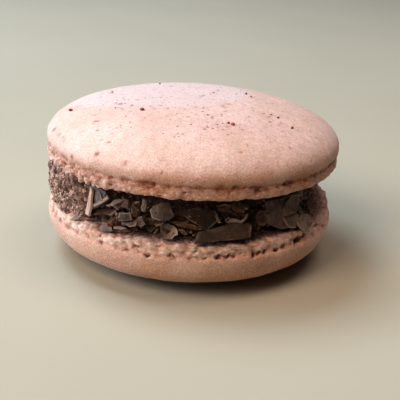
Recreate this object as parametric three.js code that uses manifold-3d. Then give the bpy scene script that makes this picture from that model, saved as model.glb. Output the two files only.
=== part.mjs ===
// A french macaron: two almond meringue shells, each a smooth dome with a ruffled foot under
// its rim, closed on a chocolate filling whose side is packed with thin curled flakes.
// Millimetres, +Z up. The origin is the middle of the small flat spot that it rests on.

import * as THREE from "three";
import { mergeVertices } from "three/addons/utils/BufferGeometryUtils.js";
import Module from "manifold-3d";

const wasm = await Module();
wasm.setup();

const DEGREE = Math.PI / 180;

// ---- Driving dimensions ----

// Each shell is described dome up, with height 0 at the flat underside of its foot.
// shoulder and fullness are the exponents of the dome's rounded outline: higher is squarer.
const TOP_SHELL = {
  seed: 21,
  radius: 24,
  footRadius: 23.5,
  footHeight: 1.67,
  domeHeight: 6.88,
  shoulder: 3.01,
  fullness: 2.37,
  flatSpot: 0.01,
};

const BOTTOM_SHELL = {
  seed: 34,
  radius: 23.55,
  footRadius: 23.1,
  footHeight: 1.67,
  domeHeight: 7.53,
  shoulder: 3.3,
  fullness: 3.0,
  flatSpot: 0.1,
};

const BOTTOM_HEIGHT = BOTTOM_SHELL.domeHeight - BOTTOM_SHELL.flatSpot + BOTTOM_SHELL.footHeight;
const FILLING_HEIGHT = 6.84;
const TOP_TILT = { x: -0.63 * DEGREE, y: 0.32 * DEGREE };
const TOP_OFFSET = { x: 0.15, y: 0.02 };

// The layers stay this far apart, with a little more above the filling for the lid's tilt.
const LAYER_GAP = 0.3;
const LID_GAP = 0.5;

const SHELL_SEGMENTS = 72;
// Under its rim a dome rolls in by this much to meet the foot.
const LIP_ROUNDING = 0.4;
// A lump of the foot also stands up or hangs down by this share of its swell.
const FOOT_LIFT = 0.2;
const FOOT_LUMPS = { count: 58, smallest: 0.9, largest: 1.9, swell: 0.5 };
const DOME_DENTS = { count: 14, smallest: 4, largest: 8, swell: 0.1 };

const CORE = {
  seed: 55,
  segments: 72,
  radius: 19.9,
  edgeRounding: 0.5,
  lumps: { count: 46, smallest: 1, largest: 2.6, swell: 0.7 },
  // A mass of crumbled chocolate stands out of the side as far as the shells do.
  bulge: { angle: -158 * DEGREE, halfWidth: 22 * DEGREE, depth: 3.5 },
};

// A flake is a thin bent plate. angle is its place round the filling and reach its distance
// from the axis. lean tips its top edge inwards, roll turns it in its own plane, turn swings
// one side outwards, and bend is how far its middle stands in front of its ends.
const PLACED_FLAKES = [
  { angle: -134.0, height: 12.2, reach: 21.1, wide: 4.3, tall: 5.6, lean: 4, roll: 6, bend: -0.7 },
  { angle: -128.0, height: 12.9, reach: 21.4, wide: 5.0, tall: 1.5, lean: -18, roll: 35, bend: 0.2 },
  { angle: -126.5, height: 10.3, reach: 20.9, wide: 5.2, tall: 1.9, lean: 24, roll: 8, bend: 0.3 },
  { angle: -126.6, height: 10.0, reach: 21.6, wide: 1.8, tall: 1.5, lean: 38, roll: -6, bend: 0.2 },
  { angle: -118.2, height: 13.2, reach: 20.7, wide: 2.9, tall: 2.3, lean: 10, roll: 20, bend: 0.3 },
  { angle: -115.4, height: 11.6, reach: 20.8, wide: 2.6, tall: 2.5, lean: 16, roll: -24, bend: 0.4 },
  { angle: -110.6, height: 12.9, reach: 20.8, wide: 2.2, tall: 1.6, lean: 6, roll: 40, bend: -0.3 },
  { angle: -110.8, height: 11.0, reach: 20.9, wide: 2.4, tall: 1.7, lean: 28, roll: -16, bend: 0.4 },
  { angle: -106.6, height: 13.5, reach: 20.7, wide: 0.9, tall: 2.9, lean: 0, roll: 4, bend: 0.1 },
  { angle: -99.8, height: 13.6, reach: 20.9, wide: 3.9, tall: 3.2, lean: 8, roll: 12, bend: 0.5 },
  { angle: -97.2, height: 10.6, reach: 21.2, wide: 2.5, tall: 2.1, lean: 34, roll: 4, bend: -0.6 },
  { angle: -90.2, height: 11.5, reach: 20.6, wide: 5.2, tall: 1.1, lean: 12, roll: -12, bend: 0.3 },
  { angle: -85.0, height: 12.9, reach: 20.7, wide: 5.6, tall: 3.0, lean: 14, roll: -18, bend: 0.6 },
  { angle: -72.5, height: 14.0, reach: 20.3, wide: 4.3, tall: 1.5, lean: -8, roll: 4, bend: 0.3 },
  { angle: -70.0, height: 12.1, reach: 20.7, wide: 3.6, tall: 2.4, lean: 66, roll: 6, bend: 0.4 },
  { angle: -74.6, height: 10.7, reach: 21.2, wide: 8.6, tall: 2.6, lean: 34, roll: 4, bend: 0.3 },
  { angle: -58.4, height: 12.1, reach: 19.8, wide: 1.5, tall: 3.2, lean: 0, roll: 6, bend: 0.2 },
  { angle: -47.8, height: 12.3, reach: 20.8, wide: 7.2, tall: 5.0, lean: 12, roll: -10, bend: 0.7 },
  { angle: -41.2, height: 10.9, reach: 21.4, wide: 3.8, tall: 2.4, lean: 28, roll: 6, bend: 0.4 },
  { angle: -33.6, height: 11.4, reach: 20.5, wide: 3.0, tall: 4.4, lean: 26, roll: -12, bend: 0.5 },
];

// From sectorStart on, and for sectorWidth, the side holds flakes of like sizes. Only the core
// shows on the short stretch between them and the last placed flake.
const SCATTERED_FLAKES = {
  seed: 89,
  count: 32,
  sectorStart: 12,
  sectorWidth: 168,
  reach: 20.3,
  lowest: 10.7,
  highest: 14.2,
};

const FLAKE = { thickness: 0.55, columns: 3, rows: 2, cornerDrift: 0.16, wave: 0.14 };

// ---- Small tools ----

/** Repeatable draws from 0 to 1, so that every build gives the same macaron. */
function seededRandom(seed) {
  let state = seed;
  return () => {
    state = (state + 0x6d2b79f5) | 0;
    let mixed = Math.imul(state ^ (state >>> 15), 1 | state);
    mixed = (mixed + Math.imul(mixed ^ (mixed >>> 7), 61 | mixed)) ^ mixed;
    return ((mixed ^ (mixed >>> 14)) >>> 0) / 4294967296;
  };
}

/** The smallest turn from one angle to the other, from -PI to PI. */
function angleBetween(from, to) {
  return Math.atan2(Math.sin(to - from), Math.cos(to - from));
}

/** A set of soft lumps spread at random over a band, for the relief of a side or a dome. */
function makeLumps({ count, smallest, largest, swell }, low, high, random) {
  return Array.from({ length: count }, (_, index) => ({
    angle: ((index + 0.8 * random()) / count) * 2 * Math.PI,
    level: THREE.MathUtils.lerp(low, high, random()),
    size: THREE.MathUtils.lerp(smallest, largest, random()),
    swell: swell * (random() < 0.3 ? -1 : 1) * THREE.MathUtils.lerp(0.4, 1, random()),
  }));
}

/** How far the lumps push out a point at this angle and level of a round side. */
function reliefAt(lumps, angle, level, radius) {
  let push = 0;
  for (const lump of lumps) {
    const across = angleBetween(lump.angle, angle) * radius;
    const distance = Math.hypot(across, level - lump.level) / lump.size;
    if (distance < 2.5) push += lump.swell * Math.exp(-distance * distance);
  }
  return push;
}

/** A closed surface through round rings, from the first centre point to the last one. */
function ringSolid(rings, firstHeight, lastHeight, segments) {
  const positions = [0, 0, firstHeight];
  for (const ring of rings) {
    for (let i = 0; i < segments; i += 1) {
      const angle = (i / segments) * 2 * Math.PI;
      const { radius, height } = ring(angle);
      positions.push(radius * Math.cos(angle), radius * Math.sin(angle), height);
    }
  }
  positions.push(0, 0, lastHeight);
  const last = positions.length / 3 - 1;

  const indices = [];
  for (let i = 0; i < segments; i += 1) {
    const next = (i + 1) % segments;
    indices.push(0, 1 + next, 1 + i);
    for (let ring = 0; ring < rings.length - 1; ring += 1) {
      const lower = 1 + ring * segments;
      const upper = lower + segments;
      indices.push(lower + i, lower + next, upper + next);
      indices.push(lower + i, upper + next, upper + i);
    }
    indices.push(last, last - segments + i, last - segments + next);
  }

  const geometry = new THREE.BufferGeometry();
  geometry.setAttribute("position", new THREE.Float32BufferAttribute(positions, 3));
  geometry.setIndex(indices);
  return geometry;
}

// ---- Shells ----

/** One shell, dome up: flat underside, ruffled foot, the crack under the lip, then the dome. */
function shellGeometry(shell) {
  const random = seededRandom(shell.seed);
  const footLumps = makeLumps(FOOT_LUMPS, 0.2, shell.footHeight, random);
  const domeLumps = makeLumps(DOME_DENTS, 0, shell.domeHeight, random);
  const lip = shell.footHeight;

  // radiusOffset is from the foot's radius, level a share of the foot's height, and ruffle the
  // share of the lumps' relief that the ring takes.
  const footProfile = [
    { radiusOffset: -1.9, level: 0, ruffle: 0 },
    { radiusOffset: -0.35, level: 0.04, ruffle: 0.9 },
    { radiusOffset: 0, level: 0.26, ruffle: 1 },
    { radiusOffset: 0, level: 0.54, ruffle: 1 },
    { radiusOffset: -0.15, level: 0.76, ruffle: 0.8 },
    { radiusOffset: -0.45, level: 0.9, ruffle: 0.5 },
  ];
  const footRings = footProfile.map(({ radiusOffset, level, ruffle }) => (angle) => {
    const height = level * shell.footHeight;
    const push = reliefAt(footLumps, angle, height, shell.footRadius);
    const radius = shell.footRadius + radiusOffset + ruffle * push;
    return { radius, height: height * (1 + FOOT_LIFT * push) };
  });

  const innerRing = () => ({ radius: 0.55 * shell.radius, height: 0 });
  const lipRing = () => ({ radius: shell.radius - LIP_ROUNDING, height: 0.97 * lip });

  // The dome's outline is a rounded rectangle curve, followed from the rim (0) to the crown (1).
  const crown = Math.asin((1 - shell.flatSpot / shell.domeHeight) ** (shell.fullness / 2));
  const domeSteps = [0, 0.05, 0.13, 0.24, 0.37, 0.52, 0.68, 0.84, 1];
  const domeRings = domeSteps.map((step) => (angle) => {
    const swing = step * crown;
    const outline = shell.radius * Math.cos(swing) ** (2 / shell.shoulder);
    const rise = shell.domeHeight * Math.sin(swing) ** (2 / shell.fullness);
    const push = (1 - step) * reliefAt(domeLumps, angle, rise, shell.radius);
    return { radius: outline + push, height: lip + rise };
  });

  const rings = [innerRing, ...footRings, lipRing, ...domeRings];
  const top = lip + shell.domeHeight - shell.flatSpot;
  return ringSolid(rings, 0, top, SHELL_SEGMENTS);
}

// ---- Filling ----

/** The pressed filling under the flakes: a low round block with an uneven side. */
function coreGeometry() {
  const random = seededRandom(CORE.seed);
  const base = BOTTOM_HEIGHT + LAYER_GAP;
  const top = BOTTOM_HEIGHT + FILLING_HEIGHT - LID_GAP;
  const lumps = makeLumps(CORE.lumps, base, top, random);
  const steps = [0, 0.09, 0.28, 0.47, 0.66, 0.85, 1];

  const sideRings = steps.map((step) => (angle) => {
    const height = THREE.MathUtils.lerp(base, top, step);
    const offset = angleBetween(CORE.bulge.angle, angle) / CORE.bulge.halfWidth;
    const bulge = CORE.bulge.depth * Math.exp(-(offset ** 4));
    const rounding = CORE.edgeRounding * (2 * step - 1) ** 4;
    const push = reliefAt(lumps, angle, height, CORE.radius);
    return { radius: CORE.radius + bulge + push - rounding, height };
  });
  const innerRing = (height) => () => ({ radius: 0.5 * CORE.radius, height });
  return ringSolid([innerRing(base), ...sideRings, innerRing(top)], base, top, CORE.segments);
}

/** One flake in its own plane: x along it, y up it, z out of its face. */
function flakeGeometry(flake, random) {
  const { columns, rows, thickness, cornerDrift, wave } = FLAKE;
  const drift = () => 1 + cornerDrift * (2 * random() - 1);
  const corners = [drift(), drift(), drift(), drift()];
  const phase = 2 * Math.PI * random();

  const place = (column, row, side) => {
    const s = (2 * column) / columns - 1;
    const t = (2 * row) / rows - 1;
    const left = THREE.MathUtils.lerp(corners[0], corners[1], (t + 1) / 2);
    const right = THREE.MathUtils.lerp(corners[2], corners[3], (t + 1) / 2);
    const stretch = THREE.MathUtils.lerp(left, right, (s + 1) / 2);
    const bow = flake.bend * (1 - s * s) + wave * Math.sin(phase + 3 * s + 2 * t);
    return [
      (s * flake.wide * stretch) / 2,
      (t * flake.tall * stretch * (1 - 0.18 * s * s)) / 2,
      bow + (side * thickness) / 2,
    ];
  };

  const positions = [];
  const width = columns + 1;
  const faceSize = width * (rows + 1);
  for (const side of [-1, 1]) {
    for (let row = 0; row <= rows; row += 1) {
      for (let column = 0; column <= columns; column += 1) {
        positions.push(...place(column, row, side));
      }
    }
  }

  const indices = [];
  for (let row = 0; row < rows; row += 1) {
    for (let column = 0; column < columns; column += 1) {
      const a = row * width + column;
      const b = a + 1;
      const c = a + width + 1;
      const d = a + width;
      indices.push(a, c, b, a, d, c);
      indices.push(faceSize + a, faceSize + b, faceSize + c);
      indices.push(faceSize + a, faceSize + c, faceSize + d);
    }
  }
  for (const [from, to] of rimEdges(columns, rows)) {
    indices.push(from, to, faceSize + to, from, faceSize + to, faceSize + from);
  }

  const geometry = new THREE.BufferGeometry();
  geometry.setAttribute("position", new THREE.Float32BufferAttribute(positions, 3));
  geometry.setIndex(indices);
  return geometry;
}

/** The border of a grid of points as steps from one point to the next, counterclockwise. */
function rimEdges(columns, rows) {
  const width = columns + 1;
  const border = [];
  for (let column = 0; column < columns; column += 1) border.push(column);
  for (let row = 0; row < rows; row += 1) border.push(row * width + columns);
  for (let column = columns; column > 0; column -= 1) border.push(rows * width + column);
  for (let row = rows; row > 0; row -= 1) border.push(row * width);
  return border.map((point, index) => [point, border[(index + 1) % border.length]]);
}

/** Stands a flake on the side of the filling. */
function placeFlake(geometry, flake) {
  const angle = flake.angle * DEGREE;
  const outward = new THREE.Vector3(Math.cos(angle), Math.sin(angle), 0);
  const along = new THREE.Vector3(-Math.sin(angle), Math.cos(angle), 0);
  const up = new THREE.Vector3(0, 0, 1);
  geometry.rotateZ(flake.roll * DEGREE);
  geometry.rotateX(-flake.lean * DEGREE);
  geometry.rotateY((flake.turn ?? 0) * DEGREE);
  geometry.translate(0, flake.height, flake.reach);
  geometry.applyMatrix4(new THREE.Matrix4().makeBasis(along, up, outward));
  return geometry;
}

/** Draws the flakes of the sector that has no placed ones. */
function scatterFlakes(random) {
  const { count, sectorStart, sectorWidth, reach, lowest, highest } = SCATTERED_FLAKES;
  const between = (low, high) => THREE.MathUtils.lerp(low, high, random());
  return Array.from({ length: count }, (_, index) => ({
    angle: sectorStart + ((index + between(0.1, 0.9)) / count) * sectorWidth,
    height: between(lowest, highest),
    reach: reach + between(0, 0.6),
    wide: between(2, 5.6),
    tall: between(1.4, 3.2),
    lean: between(-20, 36),
    roll: between(-50, 50),
    turn: between(-26, 26),
    bend: between(-0.5, 0.7),
  }));
}

/** Turns a closed geometry into a solid that can be joined to others. */
function toSolid(geometry) {
  const bare = geometry.clone();
  bare.deleteAttribute("normal");
  bare.deleteAttribute("uv");
  const merged = mergeVertices(bare);
  return new wasm.Manifold(
    new wasm.Mesh({
      numProp: 3,
      vertProperties: new Float32Array(merged.attributes.position.array),
      triVerts: new Uint32Array(merged.index.array),
    }),
  );
}

/** Turns a joined solid back into a geometry. */
function toGeometry(solid) {
  const mesh = solid.getMesh();
  const geometry = new THREE.BufferGeometry();
  geometry.setAttribute("position", new THREE.BufferAttribute(mesh.vertProperties, 3));
  geometry.setIndex(new THREE.BufferAttribute(mesh.triVerts, 1));
  geometry.computeVertexNormals();
  return geometry;
}

/** A flat slab between two heights, wider than the macaron, to trim the filling with. */
function slabSolid(low, high) {
  const size = 3 * TOP_SHELL.radius;
  const slab = new THREE.BoxGeometry(size, size, high - low);
  slab.translate(0, 0, (low + high) / 2);
  return toSolid(slab);
}

/** The filling: its core and every flake joined into one body, clear of both shells. */
function fillingGeometry() {
  const random = seededRandom(SCATTERED_FLAKES.seed);
  const flakes = [...PLACED_FLAKES, ...scatterFlakes(random)];
  let solid = toSolid(coreGeometry());
  for (const flake of flakes) {
    solid = solid.add(toSolid(placeFlake(flakeGeometry(flake, random), flake)));
  }
  const low = BOTTOM_HEIGHT + LAYER_GAP;
  const high = BOTTOM_HEIGHT + FILLING_HEIGHT - LID_GAP;
  return toGeometry(solid.intersect(slabSolid(low, high)));
}

// ---- The macaron ----

const MATERIALS = {
  topShell: new THREE.MeshStandardMaterial({ color: 0xdfb59e, roughness: 0.82, metalness: 0 }),
  bottomShell: new THREE.MeshStandardMaterial({ color: 0xc79a80, roughness: 0.85, metalness: 0 }),
  filling: new THREE.MeshStandardMaterial({ color: 0x5a463b, roughness: 0.6, metalness: 0 }),
};

/** A named sub-part. */
function part(name, geometry, material) {
  const mesh = new THREE.Mesh(geometry, material);
  mesh.name = name;
  return mesh;
}

const macaron = new THREE.Group();

const bottomShell = part("bottom_shell", shellGeometry(BOTTOM_SHELL), MATERIALS.bottomShell);
bottomShell.rotation.x = Math.PI;
bottomShell.position.z = BOTTOM_HEIGHT;

const filling = part("filling", fillingGeometry(), MATERIALS.filling);

const topShell = part("top_shell", shellGeometry(TOP_SHELL), MATERIALS.topShell);
topShell.rotation.set(TOP_TILT.x, TOP_TILT.y, 0);
topShell.position.set(TOP_OFFSET.x, TOP_OFFSET.y, BOTTOM_HEIGHT + FILLING_HEIGHT);

macaron.add(bottomShell, filling, topShell);

export default macaron;
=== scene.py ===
"""A french macaron, dressed for its picture.

Two almond meringue shells, each a smooth dome over a frothy foot, close on a chocolate filling
whose side is packed with thin chocolate flakes. Sizes are in millimetres and angles in degrees
unless a name says otherwise. Meshes are written in metres, in the frame of the solids.
"""

from __future__ import annotations

import itertools
import logging
import math
from dataclasses import dataclass, field, replace
from enum import Enum
from typing import Any, Sequence

import bmesh
import bpy
import numpy as np
from mathutils import Euler, Matrix, Vector


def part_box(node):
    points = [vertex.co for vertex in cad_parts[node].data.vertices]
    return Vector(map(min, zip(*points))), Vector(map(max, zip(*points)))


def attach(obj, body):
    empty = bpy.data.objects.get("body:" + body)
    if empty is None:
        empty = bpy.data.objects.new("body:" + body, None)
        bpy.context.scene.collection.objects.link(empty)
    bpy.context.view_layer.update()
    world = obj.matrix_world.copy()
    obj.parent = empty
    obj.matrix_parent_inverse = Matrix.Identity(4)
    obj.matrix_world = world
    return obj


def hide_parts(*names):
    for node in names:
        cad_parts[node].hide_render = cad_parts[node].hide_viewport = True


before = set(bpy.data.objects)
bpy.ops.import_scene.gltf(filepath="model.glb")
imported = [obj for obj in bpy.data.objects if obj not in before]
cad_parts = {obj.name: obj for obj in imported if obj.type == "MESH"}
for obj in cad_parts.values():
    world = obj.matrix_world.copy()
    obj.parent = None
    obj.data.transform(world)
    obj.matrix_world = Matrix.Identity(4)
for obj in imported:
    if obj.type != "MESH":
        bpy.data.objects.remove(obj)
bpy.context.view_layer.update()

LOG = logging.getLogger("macaron")

MM = 0.001
TURN = 2.0 * math.pi
UP = np.array([0.0, 0.0, 1.0])
BODY = "root"

Array = np.ndarray
Pair = tuple[float, float]
Colour = tuple[float, float, float, float]
Faces = list[tuple[int, ...]]


def paint(red: int, green: int, blue: int) -> Colour:
    """Turns a screen colour into the linear one that a shader takes.

    Args:
        red: Red from 0 to 255.
        green: Green from 0 to 255.
        blue: Blue from 0 to 255.

    Returns:
        The colour as linear red, green, blue and an alpha of 1.
    """
    channels = [value / 255.0 for value in (red, green, blue)]
    linear = [c / 12.92 if c <= 0.04045 else ((c + 0.055) / 1.055) ** 2.4 for c in channels]
    return (linear[0], linear[1], linear[2], 1.0)


def ease(low: float, high: float, value: Array) -> Array:
    """Goes smoothly from 0 at low to 1 at high.

    Args:
        low: The value where the result starts to rise.
        high: The value where the result reaches 1.
        value: What is eased.

    Returns:
        The eased share, from 0 to 1.
    """
    share = np.clip((value - low) / (high - low), 0.0, 1.0)
    return share * share * (3.0 - 2.0 * share)


def angle_gap(first: Array, second: float) -> Array:
    """The smallest turn between two angles in radians, from minus pi to pi."""
    return (first - second + math.pi) % TURN - math.pi


def headings(angle: Array) -> Array:
    """The level directions at these angles in radians, with x, y and z on the last axis."""
    return np.stack([np.cos(angle), np.sin(angle), np.zeros_like(angle)], axis=-1)


def spot(angle: float, reach: float, level: float) -> Array:
    """The point at an angle, at a distance from the axis and at a height."""
    turn = math.radians(angle)
    return np.array([reach * math.cos(turn), reach * math.sin(turn), level])


def sideways(angle: float) -> Array:
    """The level direction that runs anticlockwise round the axis at an angle."""
    turn = math.radians(angle)
    return np.array([-math.sin(turn), math.cos(turn), 0.0])


def lathe(reach: Array, level: Array, around: Array) -> Array:
    """Turns a section round the axis.

    Args:
        reach: Distances from the axis, as rings by segments or as rings by one.
        level: The rings' heights.
        around: The segments' directions.

    Returns:
        The points, as rings by segments by three.
    """
    return reach[..., None] * around[None] + UP * level[:, None, None]


class Noise:
    """Repeatable smooth noise and cell noise in three dimensions."""

    def __init__(self, seed: int) -> None:
        """Draws the tables that every later sample reads.

        Args:
            seed: Picks the pattern.
        """
        draw = np.random.default_rng(seed)
        slopes = draw.normal(size=(256, 3))
        self._order = draw.permutation(256)
        self._slopes = slopes / np.linalg.norm(slopes, axis=1, keepdims=True)
        self._seats = draw.random((256, 3))

    def _pick(self, cell: Array) -> Array:
        """Gives each lattice cell its place in the tables.

        Args:
            cell: The cells' whole numbers, with x, y and z on the last axis.

        Returns:
            One place for each cell.
        """
        first = self._order[cell[..., 0] & 255]
        second = self._order[(first + cell[..., 1]) & 255]
        return self._order[(second + cell[..., 2]) & 255]

    def smooth(self, points: Array, size: float) -> Array:
        """Smooth noise.

        Args:
            points: Positions, with x, y and z on the last axis.
            size: The distance over which the noise changes.

        Returns:
            Values from about -1 to 1, one for each position.
        """
        scaled = points / size
        base = np.floor(scaled).astype(np.int64)
        inside = scaled - base
        fade = inside**3 * (inside * (inside * 6.0 - 15.0) + 10.0)
        total = np.zeros(points.shape[:-1])
        for corner in itertools.product((0, 1), repeat=3):
            offset = np.array(corner)
            slope = self._slopes[self._pick(base + offset)]
            share = np.where(offset == 1, fade, 1.0 - fade).prod(axis=-1)
            total += share * (slope * (inside - offset)).sum(axis=-1)
        return 1.6 * total

    def layered(self, points: Array, size: float, layers: int = 3) -> Array:
        """Smooth noise with finer and fainter noise on top.

        Args:
            points: Positions, with x, y and z on the last axis.
            size: The distance over which the coarsest layer changes.
            layers: How many layers there are, each half the size of the one before.

        Returns:
            Values from about -1 to 1, one for each position.
        """
        shares = [0.5**layer for layer in range(layers)]
        parts = (
            share * self.smooth(points + 17.3 * layer, size * share)
            for layer, share in enumerate(shares)
        )
        return sum(parts) / sum(shares)

    def cells(self, points: Array, size: float) -> tuple[Array, Array]:
        """Distances to the seeds of a random froth.

        Args:
            points: Positions, with x, y and z on the last axis.
            size: The usual width of one bubble.

        Returns:
            The distances to the nearest and to the second nearest seed, in bubble widths.
        """
        scaled = points / size
        base = np.floor(scaled).astype(np.int64)
        nearest = np.full(points.shape[:-1], 9.0)
        second = np.full(points.shape[:-1], 9.0)
        for corner in itertools.product((-1, 0, 1), repeat=3):
            cell = base + np.array(corner)
            seat = cell + self._seats[self._pick(cell)]
            distance = np.linalg.norm(scaled - seat, axis=-1)
            second = np.minimum(second, np.maximum(nearest, distance))
            nearest = np.minimum(nearest, distance)
        return nearest, second


def smooth_path(corners: Sequence[Pair], spacing: float) -> Array:
    """Lays a smooth curve through some corners, with points at an even spacing.

    Args:
        corners: The corners, each a radius and a height.
        spacing: The distance between the points that come back.

    Returns:
        An array of points, each a radius and a height, from the first corner to the last.
    """
    knots = np.array([corners[0], *corners, corners[-1]], float)
    share = np.linspace(0.0, 1.0, 24, endpoint=False)[:, None]
    stretches = []
    for before, start, end, after in zip(knots, knots[1:], knots[2:], knots[3:]):
        bend = 2 * before - 5 * start + 4 * end - after
        twist = 3 * start - before - 3 * end + after
        stretches.append(start + 0.5 * share * (end - before + share * (bend + share * twist)))
    return even_path(np.vstack([*stretches, knots[-1:]]), spacing)


def even_path(dense: Array, spacing: float) -> Array:
    """Spreads points evenly along a line of many short steps.

    Args:
        dense: The line's points.
        spacing: The distance between the points that come back.

    Returns:
        The evenly spread points, with the line's two ends among them.
    """
    steps = np.linalg.norm(np.diff(dense, axis=0), axis=1)
    along = np.concatenate([[0.0], np.cumsum(steps)])
    count = max(2, round(along[-1] / spacing) + 1)
    wanted = np.linspace(0.0, along[-1], count)
    return np.column_stack([np.interp(wanted, along, dense[:, axis]) for axis in (0, 1)])


def add_object(name: str, data: Any) -> bpy.types.Object:
    """Adds an object to the scene, at the origin.

    Args:
        name: The object's name.
        data: Its mesh, camera or light.

    Returns:
        The new object.
    """
    made = bpy.data.objects.new(name, data)
    bpy.context.scene.collection.objects.link(made)
    return made


def new_object(
    name: str, points: Array, faces: Faces, marks: dict[str, Array], crease: float | None = None
) -> bpy.types.Object:
    """Makes a mesh object at the origin.

    Args:
        name: The object's name.
        points: Its points in millimetres, one row each.
        faces: Its faces, each a list of point numbers, counterclockwise from outside.
        marks: Values for each point, by attribute name: single numbers or triples.
        crease: Edges that bend more than this many degrees are kept sharp, if given.

    Returns:
        The new object, linked to the scene.
    """
    mesh = bpy.data.meshes.new(name)
    mesh.from_pydata((points * MM).tolist(), [], faces)
    mesh.shade_smooth()
    if crease is not None:
        mesh.set_sharp_from_angle(angle=math.radians(crease))
    for mark, values in marks.items():
        flat = np.asarray(values, np.float32)
        kind, key = ("FLOAT", "value") if flat.ndim == 1 else ("FLOAT_VECTOR", "vector")
        layer = mesh.attributes.new(mark, kind, "POINT")
        layer.data.foreach_set(key, flat.ravel())
    return add_object(name, mesh)


def ring_faces(rings: int, segments: int) -> Faces:
    """The faces of a closed surface of rings between two poles.

    Args:
        rings: How many rings there are.
        segments: How many points each ring has.

    Returns:
        Faces for points in this order: first pole, the rings one by one, last pole.
    """
    last = 1 + rings * segments
    faces: Faces = []
    for i in range(segments):
        after = (i + 1) % segments
        faces.append((0, 1 + after, 1 + i))
        faces.append((last, last - segments + i, last - segments + after))
    for ring in range(rings - 1):
        low = 1 + ring * segments
        for i in range(segments):
            after = (i + 1) % segments
            faces.append((low + i, low + after, low + segments + after, low + segments + i))
    return faces


# ---- Shader and geometry trees ----


class NodeBoard:
    """Adds nodes to a tree and joins them as it goes."""

    def __init__(self, tree: bpy.types.NodeTree) -> None:
        """Keeps the tree that the nodes go into."""
        self.tree = tree

    def place(self) -> Any:
        """Reads the place on the object."""
        return self.add("ShaderNodeTexCoord").outputs["Object"]

    def add(self, kind: str, inputs: dict[Any, Any] | None = None, **settings: Any) -> Any:
        """Adds one node.

        Args:
            kind: The node's type.
            inputs: What goes into its sockets, by name or number: a socket is linked, and
                anything else becomes the socket's own value.
            **settings: Properties of the node.

        Returns:
            The new node.
        """
        node = self.tree.nodes.new(kind)
        for name, value in settings.items():
            setattr(node, name, value)
        for key, value in (inputs or {}).items():
            if isinstance(value, bpy.types.NodeSocket):
                self.tree.links.new(value, node.inputs[key])
            else:
                node.inputs[key].default_value = value
        return node

    def ramp(self, value: Any, stops: Sequence[Pair]) -> Any:
        """Reshapes a value from 0 to 1 by straight stretches.

        Args:
            value: The socket to reshape.
            stops: Pairs of the value going in and the value coming out.

        Returns:
            The socket with the reshaped value.
        """
        node = self.add("ShaderNodeValToRGB", {"Fac": value})
        elements = node.color_ramp.elements
        while len(elements) < len(stops):
            elements.new(0.5)
        for element, (place, level) in zip(elements, stops):
            element.position = place
            element.color = (level, level, level, 1.0)
        return node.outputs["Color"]

    def blend(self, share: Any, first: Any, second: Any, mode: str = "MIX") -> Any:
        """Mixes two colours.

        Args:
            share: How much of the second colour there is: a socket or a number.
            first: A socket or a colour.
            second: A socket or a colour.
            mode: The way that the second colour is laid over the first.

        Returns:
            The socket with the mixed colour.
        """
        node = self.add("ShaderNodeMix", {0: share, 6: first, 7: second}, data_type="RGBA")
        node.blend_type = mode
        return node.outputs[2]

    def sum(self, operation: str, *values: Any) -> Any:
        """Works out one sum and gives the socket with its result."""
        node = self.add("ShaderNodeMath", dict(enumerate(values)), operation=operation)
        return node.outputs[0]

    def mark(self, name: str) -> Any:
        """Reads a value that the mesh holds for each point."""
        return self.add("ShaderNodeAttribute", attribute_name=name).outputs["Fac"]

    def noise(self, where: Any, scale: float, detail: float = 2.0, rough: float = 0.5) -> Any:
        """Adds noise with this many waves to the metre and gives its value socket."""
        sizes = {"Vector": where, "Scale": scale, "Detail": detail, "Roughness": rough}
        return self.add("ShaderNodeTexNoise", sizes).outputs["Fac"]

    def relief(self, shader: Any, coarse: Any, fine: Any, strength: float, depth: float) -> None:
        """Gives a shader a relief of three parts coarse noise and two parts fine noise.

        Args:
            shader: The shader that takes the relief.
            coarse: The socket with the coarse noise.
            fine: The socket with the fine noise.
            strength: How strong it is, from 0 to 1.
            depth: How deep it is.
        """
        shares = self.sum("MULTIPLY", coarse, 0.6), self.sum("MULTIPLY", fine, 0.4)
        self.emboss(shader, self.sum("ADD", *shares), strength, depth)

    def emboss(self, shader: Any, height: Any, strength: float, depth: float) -> None:
        """Gives a shader a relief.

        Args:
            shader: The shader that takes the relief.
            height: The socket with its height.
            strength: How strong it is, from 0 to 1.
            depth: How deep it is.
        """
        sizes = {"Height": height, "Strength": strength, "Distance": depth * MM}
        bump = self.add("ShaderNodeBump", sizes)
        self.tree.links.new(bump.outputs["Normal"], shader.inputs["Normal"])


def new_material(name: str) -> tuple[bpy.types.Material, NodeBoard, Any]:
    """Starts a material.

    Args:
        name: The material's name.

    Returns:
        The material, a board for its tree, and its principled shader.
    """
    material = bpy.data.materials.new(name)
    material.use_nodes = True
    tree = material.node_tree
    shader = tree.nodes["Principled BSDF"]
    return material, NodeBoard(tree), shader


def per_metre(size: float) -> float:
    """The texture scale that gives a pattern of this size in millimetres."""
    return 1.0 / (size * MM)


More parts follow.
